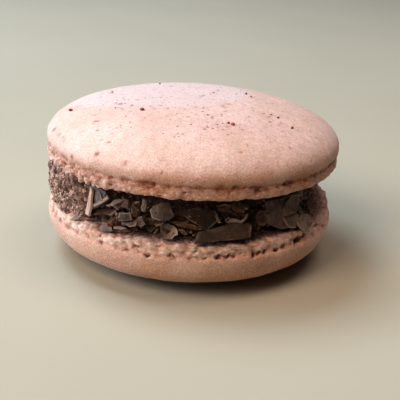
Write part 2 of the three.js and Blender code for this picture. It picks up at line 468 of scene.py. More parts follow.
@dataclass(frozen=True)
class MeringueFinish:
    """Baked almond meringue: matt and sandy, toasted and with painted shade in its cracks.

    Attributes:
        name: The material's name.
        body: The plain skin.
        pale: The sugar, the lighter clouds, and the painted highlight on the foot's bubbles.
        toast_and_recess_shade: The insides of cracks, pits and seams: partly toasted colour, partly
            painted shade.
        stain: Chocolate that has soaked into the ledge.
        fleck: Specks and fine dots of almond skin.
        grain: The golden grains.
        tan_and_shade: What the oven has browned, with painted shade low on the shell and on the
            shaded side.
        painted_reflection: The painted reflection of the sky, a pale patch on the crown.
        painted_pit_shade: The painted shade in the deepest pits.
        dot_spacing: The usual distance between two fine dots.
        roughness: How matt it is, from 0 to 1.
        sheen: How dusty it looks at a glance, from 0 to 1.
        sheen_roughness: How soft that look is, from 0 to 1.
        sheen_tint: The dust's colour.
        glow: How much light goes in and comes out elsewhere, from 0 to 1.
        glow_reach: How far that light goes.
        glow_tint: How far its red, green and blue go, as shares of that reach.
    """

    name: str
    body: Colour
    pale: Colour
    toast_and_recess_shade: Colour
    stain: Colour
    fleck: Colour
    grain: Colour
    tan_and_shade: Colour
    painted_reflection: Colour = paint(219, 201, 204)
    painted_pit_shade: Colour = paint(62, 28, 18)
    dot_spacing: float = 0.8
    roughness: float = 0.62
    sheen: float = 0.22
    sheen_roughness: float = 0.45
    sheen_tint: Colour = (0.86, 0.88, 1.0, 1.0)
    glow: float = 0.12
    glow_reach: float = 0.8
    glow_tint: tuple[float, float, float] = (1.0, 0.45, 0.3)

    def material(self) -> bpy.types.Material:
        """Builds the material.

        Returns:
            The material, which reads the marks tan_and_shade, painted_reflection, pale,
            toast_and_recess_shade, stain, painted_pit_shade, pepper and fleck.
        """
        material, board, shader = new_material(self.name)
        where = board.place()
        clouds = board.noise(where, per_metre(7.0), 3.0)
        mottle = board.noise(where, per_metre(1.0), 2.0, 0.5)
        grain = board.noise(where, per_metre(0.24), 2.0, 0.7)
        sand = board.noise(where, per_metre(0.5), 2.0, 0.6)

        colour = board.blend(board.ramp(clouds, [(0.35, 0.0), (0.65, 0.6)]), self.body, self.pale)
        darker = board.ramp(mottle, [(0.34, 0.9), (0.6, 1.0)])
        colour = board.blend(1.0, colour, darker, "MULTIPLY")
        golden = board.ramp(sand, [(0.5, 0.0), (0.7, 0.3)])
        colour = board.blend(golden, colour, self.grain)
        # tan is partly browning and partly painted shade; the crown patch is a painted reflection;
        # pale on the foot's bubbles is a painted highlight.
        for mark, tint in {"tan_and_shade": self.tan_and_shade, "painted_reflection": self.painted_reflection, "pale": self.pale}.items():
            colour = board.blend(board.mark(mark), colour, tint)
        sandy = board.ramp(grain, [(0.36, 0.78), (0.56, 1.0)])
        colour = board.blend(1.0, colour, sandy, "MULTIPLY")
        sugar = board.ramp(grain, [(0.58, 0.0), (0.7, 0.6)])
        colour = board.blend(sugar, colour, self.pale)
        patchy = board.ramp(sand, [(0.36, 0.35), (0.6, 1.0)])
        # toast is partly toasted colour and partly painted shade in cracks, pits and seams.
        for mark, tint in {"toast_and_recess_shade": self.toast_and_recess_shade, "stain": self.stain}.items():
            colour = board.blend(board.sum("MULTIPLY", board.mark(mark), patchy), colour, tint)
        # Painted shade in the deepest pits.
        colour = board.blend(board.mark("painted_pit_shade"), colour, self.painted_pit_shade)
        colour = board.blend(self._pepper(board, where), colour, self.fleck)
        colour = board.blend(board.mark("fleck"), colour, self.fleck)
        board.tree.links.new(colour, shader.inputs["Base Color"])

        shader.inputs["Roughness"].default_value = self.roughness
        shader.inputs["Sheen Weight"].default_value = self.sheen
        shader.inputs["Sheen Roughness"].default_value = self.sheen_roughness
        shader.inputs["Sheen Tint"].default_value = self.sheen_tint
        shader.inputs["Subsurface Weight"].default_value = self.glow
        shader.inputs["Subsurface Radius"].default_value = self.glow_tint
        shader.inputs["Subsurface Scale"].default_value = self.glow_reach * MM
        coarse = board.noise(where, per_metre(0.5), 3.0, 0.65)
        fine = board.noise(where, per_metre(0.16), 2.0, 0.6)
        board.relief(shader, coarse, fine, strength=0.5, depth=0.07)
        return material

    def _pepper(self, board: NodeBoard, where: Any) -> Any:
        """Strews fine dark dots of almond skin and cocoa where the mark pepper says.

        Args:
            board: The material's board.
            where: The socket with the place on the object.

        Returns:
            The socket with how dark the dots are.
        """
        sizes = {"Vector": where, "Scale": per_metre(self.dot_spacing)}
        seats = board.add("ShaderNodeTexVoronoi", sizes)
        dot = board.ramp(seats.outputs["Distance"], [(0.14, 1.0), (0.26, 0.0)])
        drawn = board.ramp(seats.outputs["Color"], [(0.5, 0.0), (0.7, 1.0)])
        return board.sum("MULTIPLY", board.sum("MULTIPLY", dot, drawn), board.mark("pepper"))


@dataclass(frozen=True)
class FlakeFinish:
    """Thin chocolate flakes: grey-brown faces, a faint bloom, paler broken edges with painted
    highlight.

    Attributes:
        name: The material's name.
        dark: A flake of tone 0.
        light: A flake of tone 1.
        warm: A flake of warmth 1.
        rim: The broken edges, paler and with a painted highlight.
        roughness: How matt it is, from 0 to 1.
        shine: How much it mirrors, from 0 to 1.
    """

    name: str = "chocolate_flake"
    dark: Colour = paint(36, 21, 14)
    light: Colour = paint(226, 200, 190)
    warm: Colour = paint(102, 68, 42)
    rim: Colour = paint(190, 166, 150)
    roughness: float = 0.5
    shine: float = 0.3

    def material(self) -> bpy.types.Material:
        """Builds the material.

        Returns:
            The material, which reads the marks tone, warmth, rim and streak.
        """
        material, board, shader = new_material(self.name)
        where = board.place()
        streak = board.add("ShaderNodeAttribute", attribute_name="streak").outputs["Vector"]
        bloom = board.noise(where, per_metre(1.3), 3.0, 0.6)
        speckle = board.noise(where, per_metre(0.3), 2.0, 0.6)
        lines = board.noise(streak, 2.6, 3.0, 0.6)

        colour = board.blend(board.mark("tone"), self.dark, self.light)
        colour = board.blend(board.mark("warmth"), colour, self.warm)
        dusty = board.ramp(bloom, [(0.32, 0.6), (0.68, 1.25)])
        colour = board.blend(1.0, colour, dusty, "MULTIPLY")
        speckled = board.ramp(speckle, [(0.34, 0.72), (0.6, 1.0)])
        colour = board.blend(0.8, colour, speckled, "MULTIPLY")
        lined = board.ramp(lines, [(0.3, 0.7), (0.7, 1.1)])
        colour = board.blend(0.8, colour, lined, "MULTIPLY")
        # Broken edges: paler in their own colour and with a painted highlight, in patches.
        edge_highlight_patches = board.ramp(board.noise(where, per_metre(2.2), 2.0, 0.6), [(0.46, 0.0), (0.6, 0.5)])
        colour = board.blend(board.sum("MULTIPLY", board.mark("rim"), edge_highlight_patches), colour, self.rim)
        board.tree.links.new(colour, shader.inputs["Base Color"])

        shader.inputs["Roughness"].default_value = self.roughness
        shader.inputs["Specular IOR Level"].default_value = self.shine
        board.relief(shader, lines, speckle, strength=0.7, depth=0.12)
        return material


@dataclass(frozen=True)
class CrumbFinish:
    """Crumbled chocolate, dark to light by its mark; the core's pores and caves hold painted shade.

    Attributes:
        name: The material's name.
        dark: Where the mark light is 0.
        light: Where it is 1.
        roughness: How matt it is, from 0 to 1.
    """

    name: str
    dark: Colour
    light: Colour
    roughness: float = 0.7

    def material(self) -> bpy.types.Material:
        """Builds the material.

        Returns:
            The material, which reads the mark light.
        """
        material, board, shader = new_material(self.name)
        where = board.place()
        mottle = board.noise(where, per_metre(0.55), 3.0, 0.65)
        colour = board.blend(board.mark("light"), self.dark, self.light)
        uneven = board.ramp(mottle, [(0.3, 0.55), (0.68, 1.1)])
        colour = board.blend(0.8, colour, uneven, "MULTIPLY")
        board.tree.links.new(colour, shader.inputs["Base Color"])
        shader.inputs["Roughness"].default_value = self.roughness
        fine = board.noise(where, per_metre(0.3), 3.0, 0.7)
        board.emboss(shader, fine, strength=0.8, depth=0.12)
        return material


@dataclass(frozen=True)
class FloorFinish:
    """A plain pale table top.

    Attributes:
        name: The material's name.
        body: Its colour.
        roughness: How matt it is, from 0 to 1.
    """

    name: str = "pale_table"
    body: Colour = paint(180, 178, 168)
    roughness: float = 0.8

    def material(self) -> bpy.types.Material:
        """Builds the material.

        Returns:
            The material.
        """
        material, board, shader = new_material(self.name)
        where = board.place()
        haze = board.noise(where, per_metre(60.0), 2.0)
        shade = board.ramp(haze, [(0.3, 0.96), (0.7, 1.0)])
        colour = board.blend(1.0, self.body, shade, "MULTIPLY")
        board.tree.links.new(colour, shader.inputs["Base Color"])
        shader.inputs["Roughness"].default_value = self.roughness
        return material


# ---- Meringue shells ----

RIM_WIDTH = 2.4
DOME_WAVES = ((7.0, 0.07), (2.8, 0.05), (1.15, 0.035), (0.6, 0.015))
PIT_SQUASH = np.array([1.0, 1.0, 1.7])


@dataclass(frozen=True)
class Pit:
    """A burst bubble or a notch in the side of a foot.

    Attributes:
        angle: Its place round the shell.
        level: Its height above the foot's flat underside.
        size: Its radius.
        depth: How deep it goes, or less than 0 for a lump that stands out.
        toast_and_recess_shade: How brown and how shaded it is painted inside, from 0 to 1.
    """

    angle: float
    level: float
    size: float
    depth: float
    toast_and_recess_shade: float = 0.8


@dataclass(frozen=True)
class Fleck:
    """A brown speck or small hole in the skin of a dome.

    Attributes:
        angle: Its place round the shell.
        reach: Its distance from the shell's axis.
        wide: Half its width round the shell.
        long: Half its length towards the rim.
        strength: How dark it is, from 0 to 1.
    """

    angle: float
    reach: float
    wide: float
    long: float
    strength: float = 0.8


@dataclass
class MeringueShell:
    """One shell, described dome up, with height 0 at the flat underside of its foot.

    Attributes:
        name: The piece's name.
        node: The solid that it stands in for.
        finish: Its finish.
        place: Where it sits.
        radius: The dome's radius.
        foot_radius: The foot's radius.
        dome_height: How high the crown stands above the foot.
        shoulder: How square the section is at the rim, with 2 for an ellipse.
        fullness: How square it is at the crown, with 2 for an ellipse.
        flat_spot: How much of the crown is cut off level.
        seed: Picks its noise and its draws.
        foot_height: The foot's height.
        waist: How far the foot draws in under the dome.
        tuck_height: The height over which the dome draws in towards the waist.
        crack_level: The height of the crack between foot and dome.
        crack_depth: Its greatest depth.
        crack_base: Its depth where it is closed, as a share of the greatest.
        crack_width: Half its width.
        crack_wobble: How far it wanders up and down.
        froth: How high the foot's bubbles stand.
        froth_size: The usual width of a bubble.
        calm: How much lower they are on the shaded side, from 0 to 1.
        shaded_side: The side that faces away from the lamps, where more shade and less highlight
            are painted, as an angle.
        stain: How strongly the ledge is stained.
        rim_tan_and_shade: How brown the rim is, with painted shade.
        crown_tan_and_shade: How brown the crown is, with painted shade.
        tan_and_shade_height: The height over which the first goes over into the second.
        bubble_highlight: How strong the painted highlight on the bubbles is.
        painted_reflection_middle: The middle of the painted reflection on the crown.
        painted_reflection_size: Half its width and half its depth, if there is one.
        pits: Its placed pits and lumps.
        pit_count: How many small pits are drawn besides.
        flecks: Its placed specks.
        fleck_count: How many faint specks are drawn besides.
        crag_angle: The middle of its crag, if there is one.
        crag_width: Half the crag's width, in radians.
        segments: How many points each ring has.
        foot_spacing: The distance between rings on the foot.
        dome_spacing: The distance between rings on the dome.
    """

    name: str
    node: str
    finish: MeringueFinish
    place: Matrix
    radius: float
    foot_radius: float
    dome_height: float
    shoulder: float
    fullness: float
    flat_spot: float
    seed: int
    foot_height: float = 1.67
    waist: float = 0.12
    tuck_height: float = 2.4
    crack_level: float = 1.7
    crack_depth: float = 0.3
    crack_base: float = 0.1
    crack_width: float = 0.1
    crack_wobble: float = 0.2
    froth: float = 0.4
    froth_size: float = 1.3
    calm: float = 0.0
    shaded_side: float = -35.0
    stain: float = 0.0
    rim_tan_and_shade: float = 0.7
    crown_tan_and_shade: float = 0.0
    tan_and_shade_height: float = 3.0
    bubble_highlight: float = 1.0
    painted_reflection_middle: Pair = (0.0, 0.0)
    painted_reflection_size: Pair | None = None
    pits: list[Pit] = field(default_factory=list)
    pit_count: int = 90
    flecks: list[Fleck] = field(default_factory=list)
    fleck_count: int = 60
    crag_angle: float | None = None
    crag_width: float = 0.52
    segments: int = 600
    foot_spacing: float = 0.115
    dome_spacing: float = 0.265

    def __post_init__(self) -> None:
        """Draws the shell's own noise and lays out its smooth surface."""
        self.noise = Noise(self.seed)
        self.crown = self.foot_height + self.dome_height - self.flat_spot
        self.outline = self._outline()
        self.level = self.outline[:, 1]
        self.angle = np.arange(self.segments) / self.segments * TURN
        self.base = lathe(self.outline[:, :1], self.level, headings(self.angle))

    def _outline(self) -> Array:
        """The shell's section from its underside round to its crown.

        Returns:
            An array of points, each a radius and a height.
        """
        foot, lip = self.foot_radius, self.foot_height
        hidden = [(0.25 * foot, 0.0), (0.5 * foot, 0.0), (0.68 * foot, 0.0)]
        ledge = smooth_path([(0.76 * foot, 0.0), (foot - 0.75, 0.0)], 2.0 * self.foot_spacing)
        side = smooth_path(
            [
                (foot - 0.7, 0.0), (foot - 0.2, 0.1), (foot, 0.3 * lip), (foot, 0.65 * lip),
                (foot - 0.4 * self.waist, 0.9 * lip), (foot - self.waist, self.crack_level),
                self._tucked(self.crack_level + 0.25),
            ],
            self.foot_spacing,
        )
        return np.vstack([hidden, ledge, side, self._dome_outline()])

    def _tucked(self, level: float) -> Pair:
        """Finds a point of the dome's side, which draws in towards the waist below it.

        Args:
            level: The point's height.

        Returns:
            Its radius and its height.
        """
        swing = math.asin(((level - self.foot_height) / self.dome_height) ** (self.fullness / 2.0))
        radius = self.radius * math.cos(swing) ** (2.0 / self.shoulder)
        share = max(0.0, 1.0 - (level - self.crack_level) / self.tuck_height)
        return radius - (self.radius - self.foot_radius + self.waist) * share**2, level

    def _dome_outline(self) -> Array:
        """The section of the dome alone, from just above the lip to the flat spot's edge.

        Returns:
            An array of points, each a radius and a height.
        """
        start = self.crack_level + 0.5
        rise = 1.0 - np.cos(np.linspace(0.0, 0.5 * math.pi, 900))
        side = [self._tucked(level) for level in start + (self.crown - start) * (1.0 - rise[::-1])]
        return even_path(np.array(side), self.dome_spacing)

    def dome_level(self, reach: Array | float) -> Array | float:
        """The dome's height at a distance from the shell's axis."""
        share = (1.0 - (reach / self.radius) ** self.shoulder) ** (1.0 / self.fullness)
        return self.foot_height + self.dome_height * share

    def build(self) -> bpy.types.Object:
        """Makes the shell's mesh, with its relief and its colour marks.

        Returns:
            The shell as an object at the origin.
        """
        slope = np.gradient(self.outline, axis=0)
        slope /= np.linalg.norm(slope, axis=1, keepdims=True)
        outward, upward = slope[:, 1:], -slope[:, :1]
        push, lift, marks = self._relief()
        points = self.base + (outward * push)[..., None] * headings(self.angle)[None]
        points[..., 2] += upward * push + lift
        if self.flat_spot > 0.05:
            points[..., 2] = np.minimum(points[..., 2], self.crown)
        return self._mesh(points, marks)

    def _mesh(self, points: Array, marks: dict[str, Array]) -> bpy.types.Object:
        """Closes the rings at both poles and puts the shell in its place.

        Args:
            points: The rings' points, as rings by segments by three.
            marks: The colour marks, as rings by segments.

        Returns:
            The shell as an object at the origin.
        """
        flat = np.vstack([0.0 * UP, points.reshape(-1, 3), self.crown * UP])
        values = {
            mark: np.concatenate([[value[0].mean()], value.ravel(), [value[-1].mean()]])
            for mark, value in marks.items()
        }
        return new_object(self.name, self.placed(flat), ring_faces(*points.shape[:2]), values)

    def placed(self, points: Array) -> Array:
        """Points of the shell's own frame, moved to where the shell sits."""
        turn = np.array(self.place.to_3x3())
        return points @ turn.T + np.array(self.place.translation)

    def _relief(self) -> tuple[Array, Array, dict[str, Array]]:
        """Works out the shell's relief and colour marks.

        Returns:
            How far each point moves out of the surface, how far it moves up, and the marks
            tan_and_shade, painted_reflection, pale, toast_and_recess_shade, stain,
            painted_pit_shade, pepper and fleck.
        """
        noise, base, lip = self.noise, self.base, self.foot_height
        radius, level = self.outline.T
        on_side = ease(self.foot_radius - RIM_WIDTH, self.foot_radius - 0.7, radius)
        on_foot = (on_side * (1.0 - ease(0.72 * lip, 1.05 * lip, level)))[:, None]
        on_dome = ease(0.9 * lip, 1.4 * lip, level)[:, None]
        on_ledge = ((1.0 - on_side) * (level < 0.01))[:, None]

        bubble, seam, rough = self._froth()
        # The side away from the lamps gets more painted shade through tan and less painted
        # highlight on the bubbles; its bubbles are also lower.
        toward_shade = (0.5 + 0.5 * np.cos(angle_gap(self.angle, math.radians(self.shaded_side))))[None]
        foot_push = self.froth * (bubble - 0.55) + 0.35 * self.froth * rough
        near_crag = self._near_crag()[None]
        foot_push -= 0.2 * self.froth * seam
        foot_push *= 1.0 - self.calm * toward_shade + 1.6 * near_crag
        ledge_push = 0.6 * self.froth * (bubble - 0.6) + 0.45 * self.froth * rough
        dome_push = sum(height * noise.smooth(base, size) for size, height in DOME_WAVES)

        push = on_foot * foot_push + on_dome * dome_push + on_ledge * ledge_push
        crack, crack_toast_and_shade = self._crack()
        push -= crack * (1.0 - near_crag)
        crack_toast_and_shade *= 1.0 - 0.9 * near_crag
        # Painted shade in the foot's seams and hollows, added to the toast and tan marks.
        hollow = on_foot * np.clip(0.7 * seam + 0.7 * ease(0.0, 0.5, -rough), 0.0, 1.0)
        toast_and_recess_shade = crack_toast_and_shade + 0.3 * hollow
        # Painted highlight on the tops of the foot's bubbles, weaker on the shaded side and
        # stronger at the crag.
        pale = (on_foot + 0.3 * on_ledge) * ease(0.25, 0.8, bubble + 0.4 * rough)
        pale *= (self.bubble_highlight + 0.6 * near_crag) * (1.0 - 0.55 * toward_shade)

        pit_push, pit_toast_and_shade = self._pits()
        push -= pit_push
        toast_and_recess_shade += pit_toast_and_shade
        crag, crag_toast_and_shade, crag_tan = self._crag(near_crag)
        push += crag
        toast_and_recess_shade += crag_toast_and_shade

        fleck_push, fleck = self._flecks()
        push += fleck_push
        plan = base * (1.0 - UP)
        push += 0.2 * on_foot * noise.layered(plan + 40.0, 3.2, 2)
        lift = 0.26 * noise.layered(plan - 60.0, 2.0, 4) * on_foot
        lift = (1.0 + near_crag) * lift - 0.3 * near_crag * on_foot
        lift = lift * (1.0 - ease(0.2, 1.1, level))[:, None]

        edge = ease(self.foot_radius - RIM_WIDTH, self.foot_radius - 0.3, radius)[:, None]
        under = ((level < 0.35) & (radius < self.foot_radius + 0.1))[:, None]
        patchy = ease(-0.6, 0.4, noise.layered(base, 1.2, 3) + 0.9 - 1.1 * edge)
        stain = self.stain * under * (0.25 + 0.75 * patchy) * (1.0 - 0.5 * edge)
        # Tan is partly browning and partly painted shade: browner low on the top shell's rim,
        # towards the bottom shell's crown on the table, and on the shaded side.
        rise = ease(self.crack_level, self.crack_level + self.tan_and_shade_height, level)
        baked_and_shaded = (self.rim_tan_and_shade + (self.crown_tan_and_shade - self.rim_tan_and_shade) * rise) * (level > 0.0)
        tan_and_shade = baked_and_shaded[:, None] * (0.8 + 0.5 * noise.layered(base - 33.0, 5.0, 2))
        tan_and_shade = (0.35 + 0.65 * toward_shade) * (1.0 - 0.6 * near_crag) * tan_and_shade + 0.25 * hollow + crag_tan
        crown = ease(0.7, 0.92, (level - lip) / self.dome_height)[:, None]
        marks = {
            "tan_and_shade": tan_and_shade,
            # Painted reflection of the sky on the crown.
            "painted_reflection": on_dome * self._painted_reflection(),
            "pale": pale,
            "toast_and_recess_shade": toast_and_recess_shade,
            "stain": stain,
            # Painted shade in the deepest pits, from the pits' toast and shade.
            "painted_pit_shade": ease(0.6, 1.0, pit_toast_and_shade),
            "pepper": 1.6 * stain + on_dome * (0.15 + 0.85 * crown),
            "fleck": fleck,
        }
        return push, lift, {mark: np.clip(value, 0.0, 1.0) for mark, value in marks.items()}

    def _painted_reflection(self) -> Array:
        """The painted reflection of the sky on the crown, with its ragged edge.

        Returns:
            How much of the painted reflection each point has, from 0 to 1.
        """
        if self.painted_reflection_size is None:
            return np.zeros(self.base.shape[:2])
        offset = (self.base[..., :2] - np.array(self.painted_reflection_middle)) / np.array(self.painted_reflection_size)
        ragged = 0.14 * self.noise.layered(self.base + 51.0, 3.0, 4)
        return 1.0 - ease(0.88, 1.08, np.linalg.norm(offset, axis=-1) + ragged)

    def _froth(self) -> tuple[Array, Array, Array]:
        """The bubbly relief of a foot.

        Returns:
            How high the bubbles stand from 0 to 1, how near a point is to the seam between
            two bubbles from 0 to 1, and fine roughness from about -1 to 1.
        """
        noise, base = self.noise, self.base
        drift = np.stack([noise.smooth(base + offset, 1.4) for offset in (0.0, 31.0, 62.0)], -1)
        warped = base + 0.22 * drift
        large, large_second = noise.cells(warped, self.froth_size)
        small, small_second = noise.cells(warped + 20.0, 0.5 * self.froth_size)
        mix = ease(-0.3, 0.3, noise.smooth(base + 80.0, 2.6))
        bubble = 1.0 - np.clip(large / 0.8, 0.0, 1.0) ** 2
        fine = 1.0 - np.clip(small / 0.8, 0.0, 1.0) ** 2
        bubble = (1.0 - 0.55 * mix) * bubble + 0.55 * mix * fine
        seam = np.maximum(
            (1.0 - mix) * (1.0 - ease(0.0, 0.14, large_second - large)),
            mix * (1.0 - ease(0.0, 0.2, small_second - small)),
        )
        return bubble, seam, noise.layered(base, 0.6, 3)

    def _crack(self) -> tuple[Array, Array]:
        """The broken line between the foot and the dome.

        Returns:
            How deep the crack is at each point, and its toast and painted shade.
        """
        noise, ring = self.noise, headings(self.angle) * self.radius
        wobble = self.crack_wobble * noise.layered(ring + 5.0, 2.1, 3)
        open_share = ease(-0.15, 0.45, noise.layered(ring + 90.0, 1.5, 3))
        centre = self.crack_level + wobble
        width = self.crack_width * (1.0 + 0.8 * open_share)
        ragged = 0.3 * noise.layered(self.base + 70.0, 0.7, 2)
        aside = self.level[:, None] - centre[None] + ragged
        shape = np.exp(-((aside / width[None]) ** 2))
        glow = np.exp(-((aside / (2.4 * width[None])) ** 2))
        share = self.crack_base + (1.0 - self.crack_base) * open_share
        depth = self.crack_depth * share[None] * shape
        # The crack's toast is partly toasted colour and partly painted shade, in the crack and in a
        # broader band round it.
        toast_and_recess_shade = share[None] * (0.75 * shape + 0.45 * glow) + 0.1 * glow
        return depth, toast_and_recess_shade

    def _pits(self) -> tuple[Array, Array]:
        """Burst bubbles and notches, those that are placed and a seeded draw of small ones.

        Returns:
            How deep the pits are at each point, and their toast and painted shade.
        """
        draw = np.random.default_rng(self.seed + 1)
        small = [
            Pit(
                angle=draw.uniform(-180.0, 180.0),
                level=self.foot_height * draw.uniform(0.35, 1.05),
                size=draw.uniform(0.16, 0.34),
                depth=draw.uniform(0.15, 0.4),
                toast_and_recess_shade=draw.uniform(0.2, 0.7),
            )
            for _ in range(self.pit_count)
        ]
        base = self.base
        near_side = np.linalg.norm(base[..., :2], axis=-1) > self.foot_radius - 1.2
        near_side &= base[..., 2] < self.foot_height + 1.0
        spots = base[near_side]
        drift = [self.noise.layered(spots + offset, 0.7, 2) for offset in (11.0, 43.0, 71.0)]
        spots = spots + 0.45 * np.stack(drift, axis=-1)
        depth, lump, toast_and_recess_shade = np.zeros((3, len(spots)))
        for pit in [*self.pits, *small]:
            offset = (spots - spot(pit.angle, self.foot_radius, pit.level)) * PIT_SQUASH
            share = np.exp(-((np.linalg.norm(offset, axis=-1) / pit.size) ** 3.2))
            lump = np.minimum(lump, pit.depth * share)
            depth = np.maximum(depth, pit.depth * share)
            # Pits are painted toasted and shaded inside.
            toast_and_recess_shade = np.maximum(toast_and_recess_shade, pit.toast_and_recess_shade * share)
        full_depth, full_toast_and_shade = np.zeros((2, *base.shape[:2]))
        full_depth[near_side] = depth + lump
        full_toast_and_shade[near_side] = toast_and_recess_shade
        return full_depth, full_toast_and_shade

    def _flecks(self) -> tuple[Array, Array]:
        """Dark specks in the dome's skin, those that are placed and a seeded draw of faint ones.

        Returns:
            How far the specks move the skin at each point, and how dark they are.
        """
        draw = np.random.default_rng(self.seed + 2)
        faint = [
            Fleck(
                angle=draw.uniform(-180.0, 180.0),
                reach=self.radius * math.sqrt(draw.uniform(0.01, 0.96)),
                wide=draw.uniform(0.1, 0.3),
                long=draw.uniform(0.12, 0.3),
                strength=draw.uniform(0.15, 0.65),
            )
            for _ in range(self.fleck_count)
        ]
        base = self.base
        on_dome = base[..., 2] > 1.05 * self.foot_height
        spots = base[on_dome] + 0.07 * self.noise.smooth(base[on_dome], 0.35)[..., None]
        dark = np.zeros(len(spots))
        for fleck in [*self.flecks, *faint]:
            along = sideways(fleck.angle)
            offset = spots - spot(fleck.angle, fleck.reach, self.dome_level(fleck.reach))
            aside = offset @ along
            ahead = np.linalg.norm(offset - along * aside[:, None], axis=-1)
            far = (aside / fleck.wide) ** 2 + (ahead / fleck.long) ** 2
            dark = np.maximum(dark, fleck.strength * np.exp(-(far**1.4)))
        full = np.zeros(base.shape[:2])
        full[on_dome] = dark
        return -0.06 * full, np.minimum(1.0, 1.15 * full)

    def _near_crag(self) -> Array:
        """How near each segment is to the middle of the crag, from 0 to 1."""
        if self.crag_angle is None:
            return np.zeros_like(self.angle)
        return np.exp(
            -((angle_gap(self.angle, math.radians(self.crag_angle)) / self.crag_width) ** 4)
        )

    def _crag(self, near: Array) -> tuple[Array, Array, Array]:
        """The stretch of rim that broke up into crumbs in the oven.

        Args:
            near: How near each segment is to the middle of the crag.

        Returns:
            How far the crumbs stand out at each point, their toast and painted shade, and how tan.
        """
        noise, base = self.noise, self.base
        low = 1.0 - ease(self.foot_height, 2.1 * self.foot_height, self.level)
        low *= ease(self.foot_radius - 2.0, self.foot_radius, np.linalg.norm(base[:, 0], axis=-1))
        share = low[:, None] * near
        share = share * ease(-0.6, 0.3, noise.layered(base + 19.0, 2.4, 2) + 0.9 * (share - 0.3))
        large, _ = noise.cells(base + 9.0, 1.2)
        small, _ = noise.cells(base + 9.0, 0.6)
        lumps = 0.6 * (0.55 - large) + 0.35 * (0.5 - small)
        rough = noise.layered(base - 9.0, 0.45)
        # Painted shade in the deep hollows between the crumbs.
        deep = ease(0.5, 0.8, 0.6 * large + 0.6 * small - 0.25 * rough)
        golden = ease(-0.35, 0.3, noise.layered(base + 27.0, 1.3, 3))
        return share * (0.9 * lumps + 0.24 * rough), 0.6 * share * deep, 0.55 * share * golden

    def dress(self, shell: bpy.types.Object) -> None:
        """Gives the shell its finish and stands it in for its solid.

        Args:
            shell: The shell's object.
        """
        shell.data.materials.append(self.finish.material())
        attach(shell, BODY)
        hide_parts(self.node)


@dataclass(frozen=True)
class Lump:
    """A crumb of chocolate on a dome.

    Attributes:
        angle: Its place round the shell.
        reach: Its distance from the shell's axis.
        size: Its radius.
    """

    angle: float
    reach: float
    size: float


@dataclass
class DomeCrumbs:
    """The few chocolate crumbs that stick to the top of a shell.

    Attributes:
        name: The piece's name.
        shell: The shell that they lie on.
        lumps: The crumbs.
        finish: Their finish.
        seed: Picks their noise.
        crease: Edges that bend more than this many degrees stay sharp.
    """

    name: str
    shell: MeringueShell
    lumps: tuple[Lump, ...]
    finish: CrumbFinish
    seed: int = 3
    crease: float = 50.0

    def build(self) -> bpy.types.Object:
        """Makes all crumbs as one mesh.

        Returns:
            The crumbs as an object at the origin.
        """
        noise = Noise(self.seed)
        ball = bmesh.new()
        bmesh.ops.create_icosphere(ball, subdivisions=3, radius=1.0)
        round_points = np.array([vertex.co[:] for vertex in ball.verts])
        round_faces = [tuple(vertex.index for vertex in face.verts) for face in ball.faces]
        ball.free()

        points, faces = [], []
        for number, lump in enumerate(self.lumps):
            shift = 9.0 * number
            uneven = 1.0 + 0.75 * noise.layered(round_points + shift, 0.9, 2)[:, None]
            level = self.shell.dome_level(lump.reach) + 0.15 * lump.size
            seat = spot(lump.angle, lump.reach, level)
            points.append(round_points * uneven * lump.size + seat)
            start = number * len(round_points)
            faces.extend(tuple(start + i for i in face) for face in round_faces)
        flat = np.vstack(points)
        light = ease(-0.4, 0.5, noise.layered(flat, 0.4, 2))
        return new_object(self.name, self.shell.placed(flat), faces, {"light": light}, self.crease)

    def dress(self, crumbs: bpy.types.Object) -> None:
        """Gives the crumbs their finish and lets them ride with the macaron.

        Args:
            crumbs: Their object.
        """
        crumbs.data.materials.append(self.finish.material())
        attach(crumbs, BODY)


# ---- Filling ----


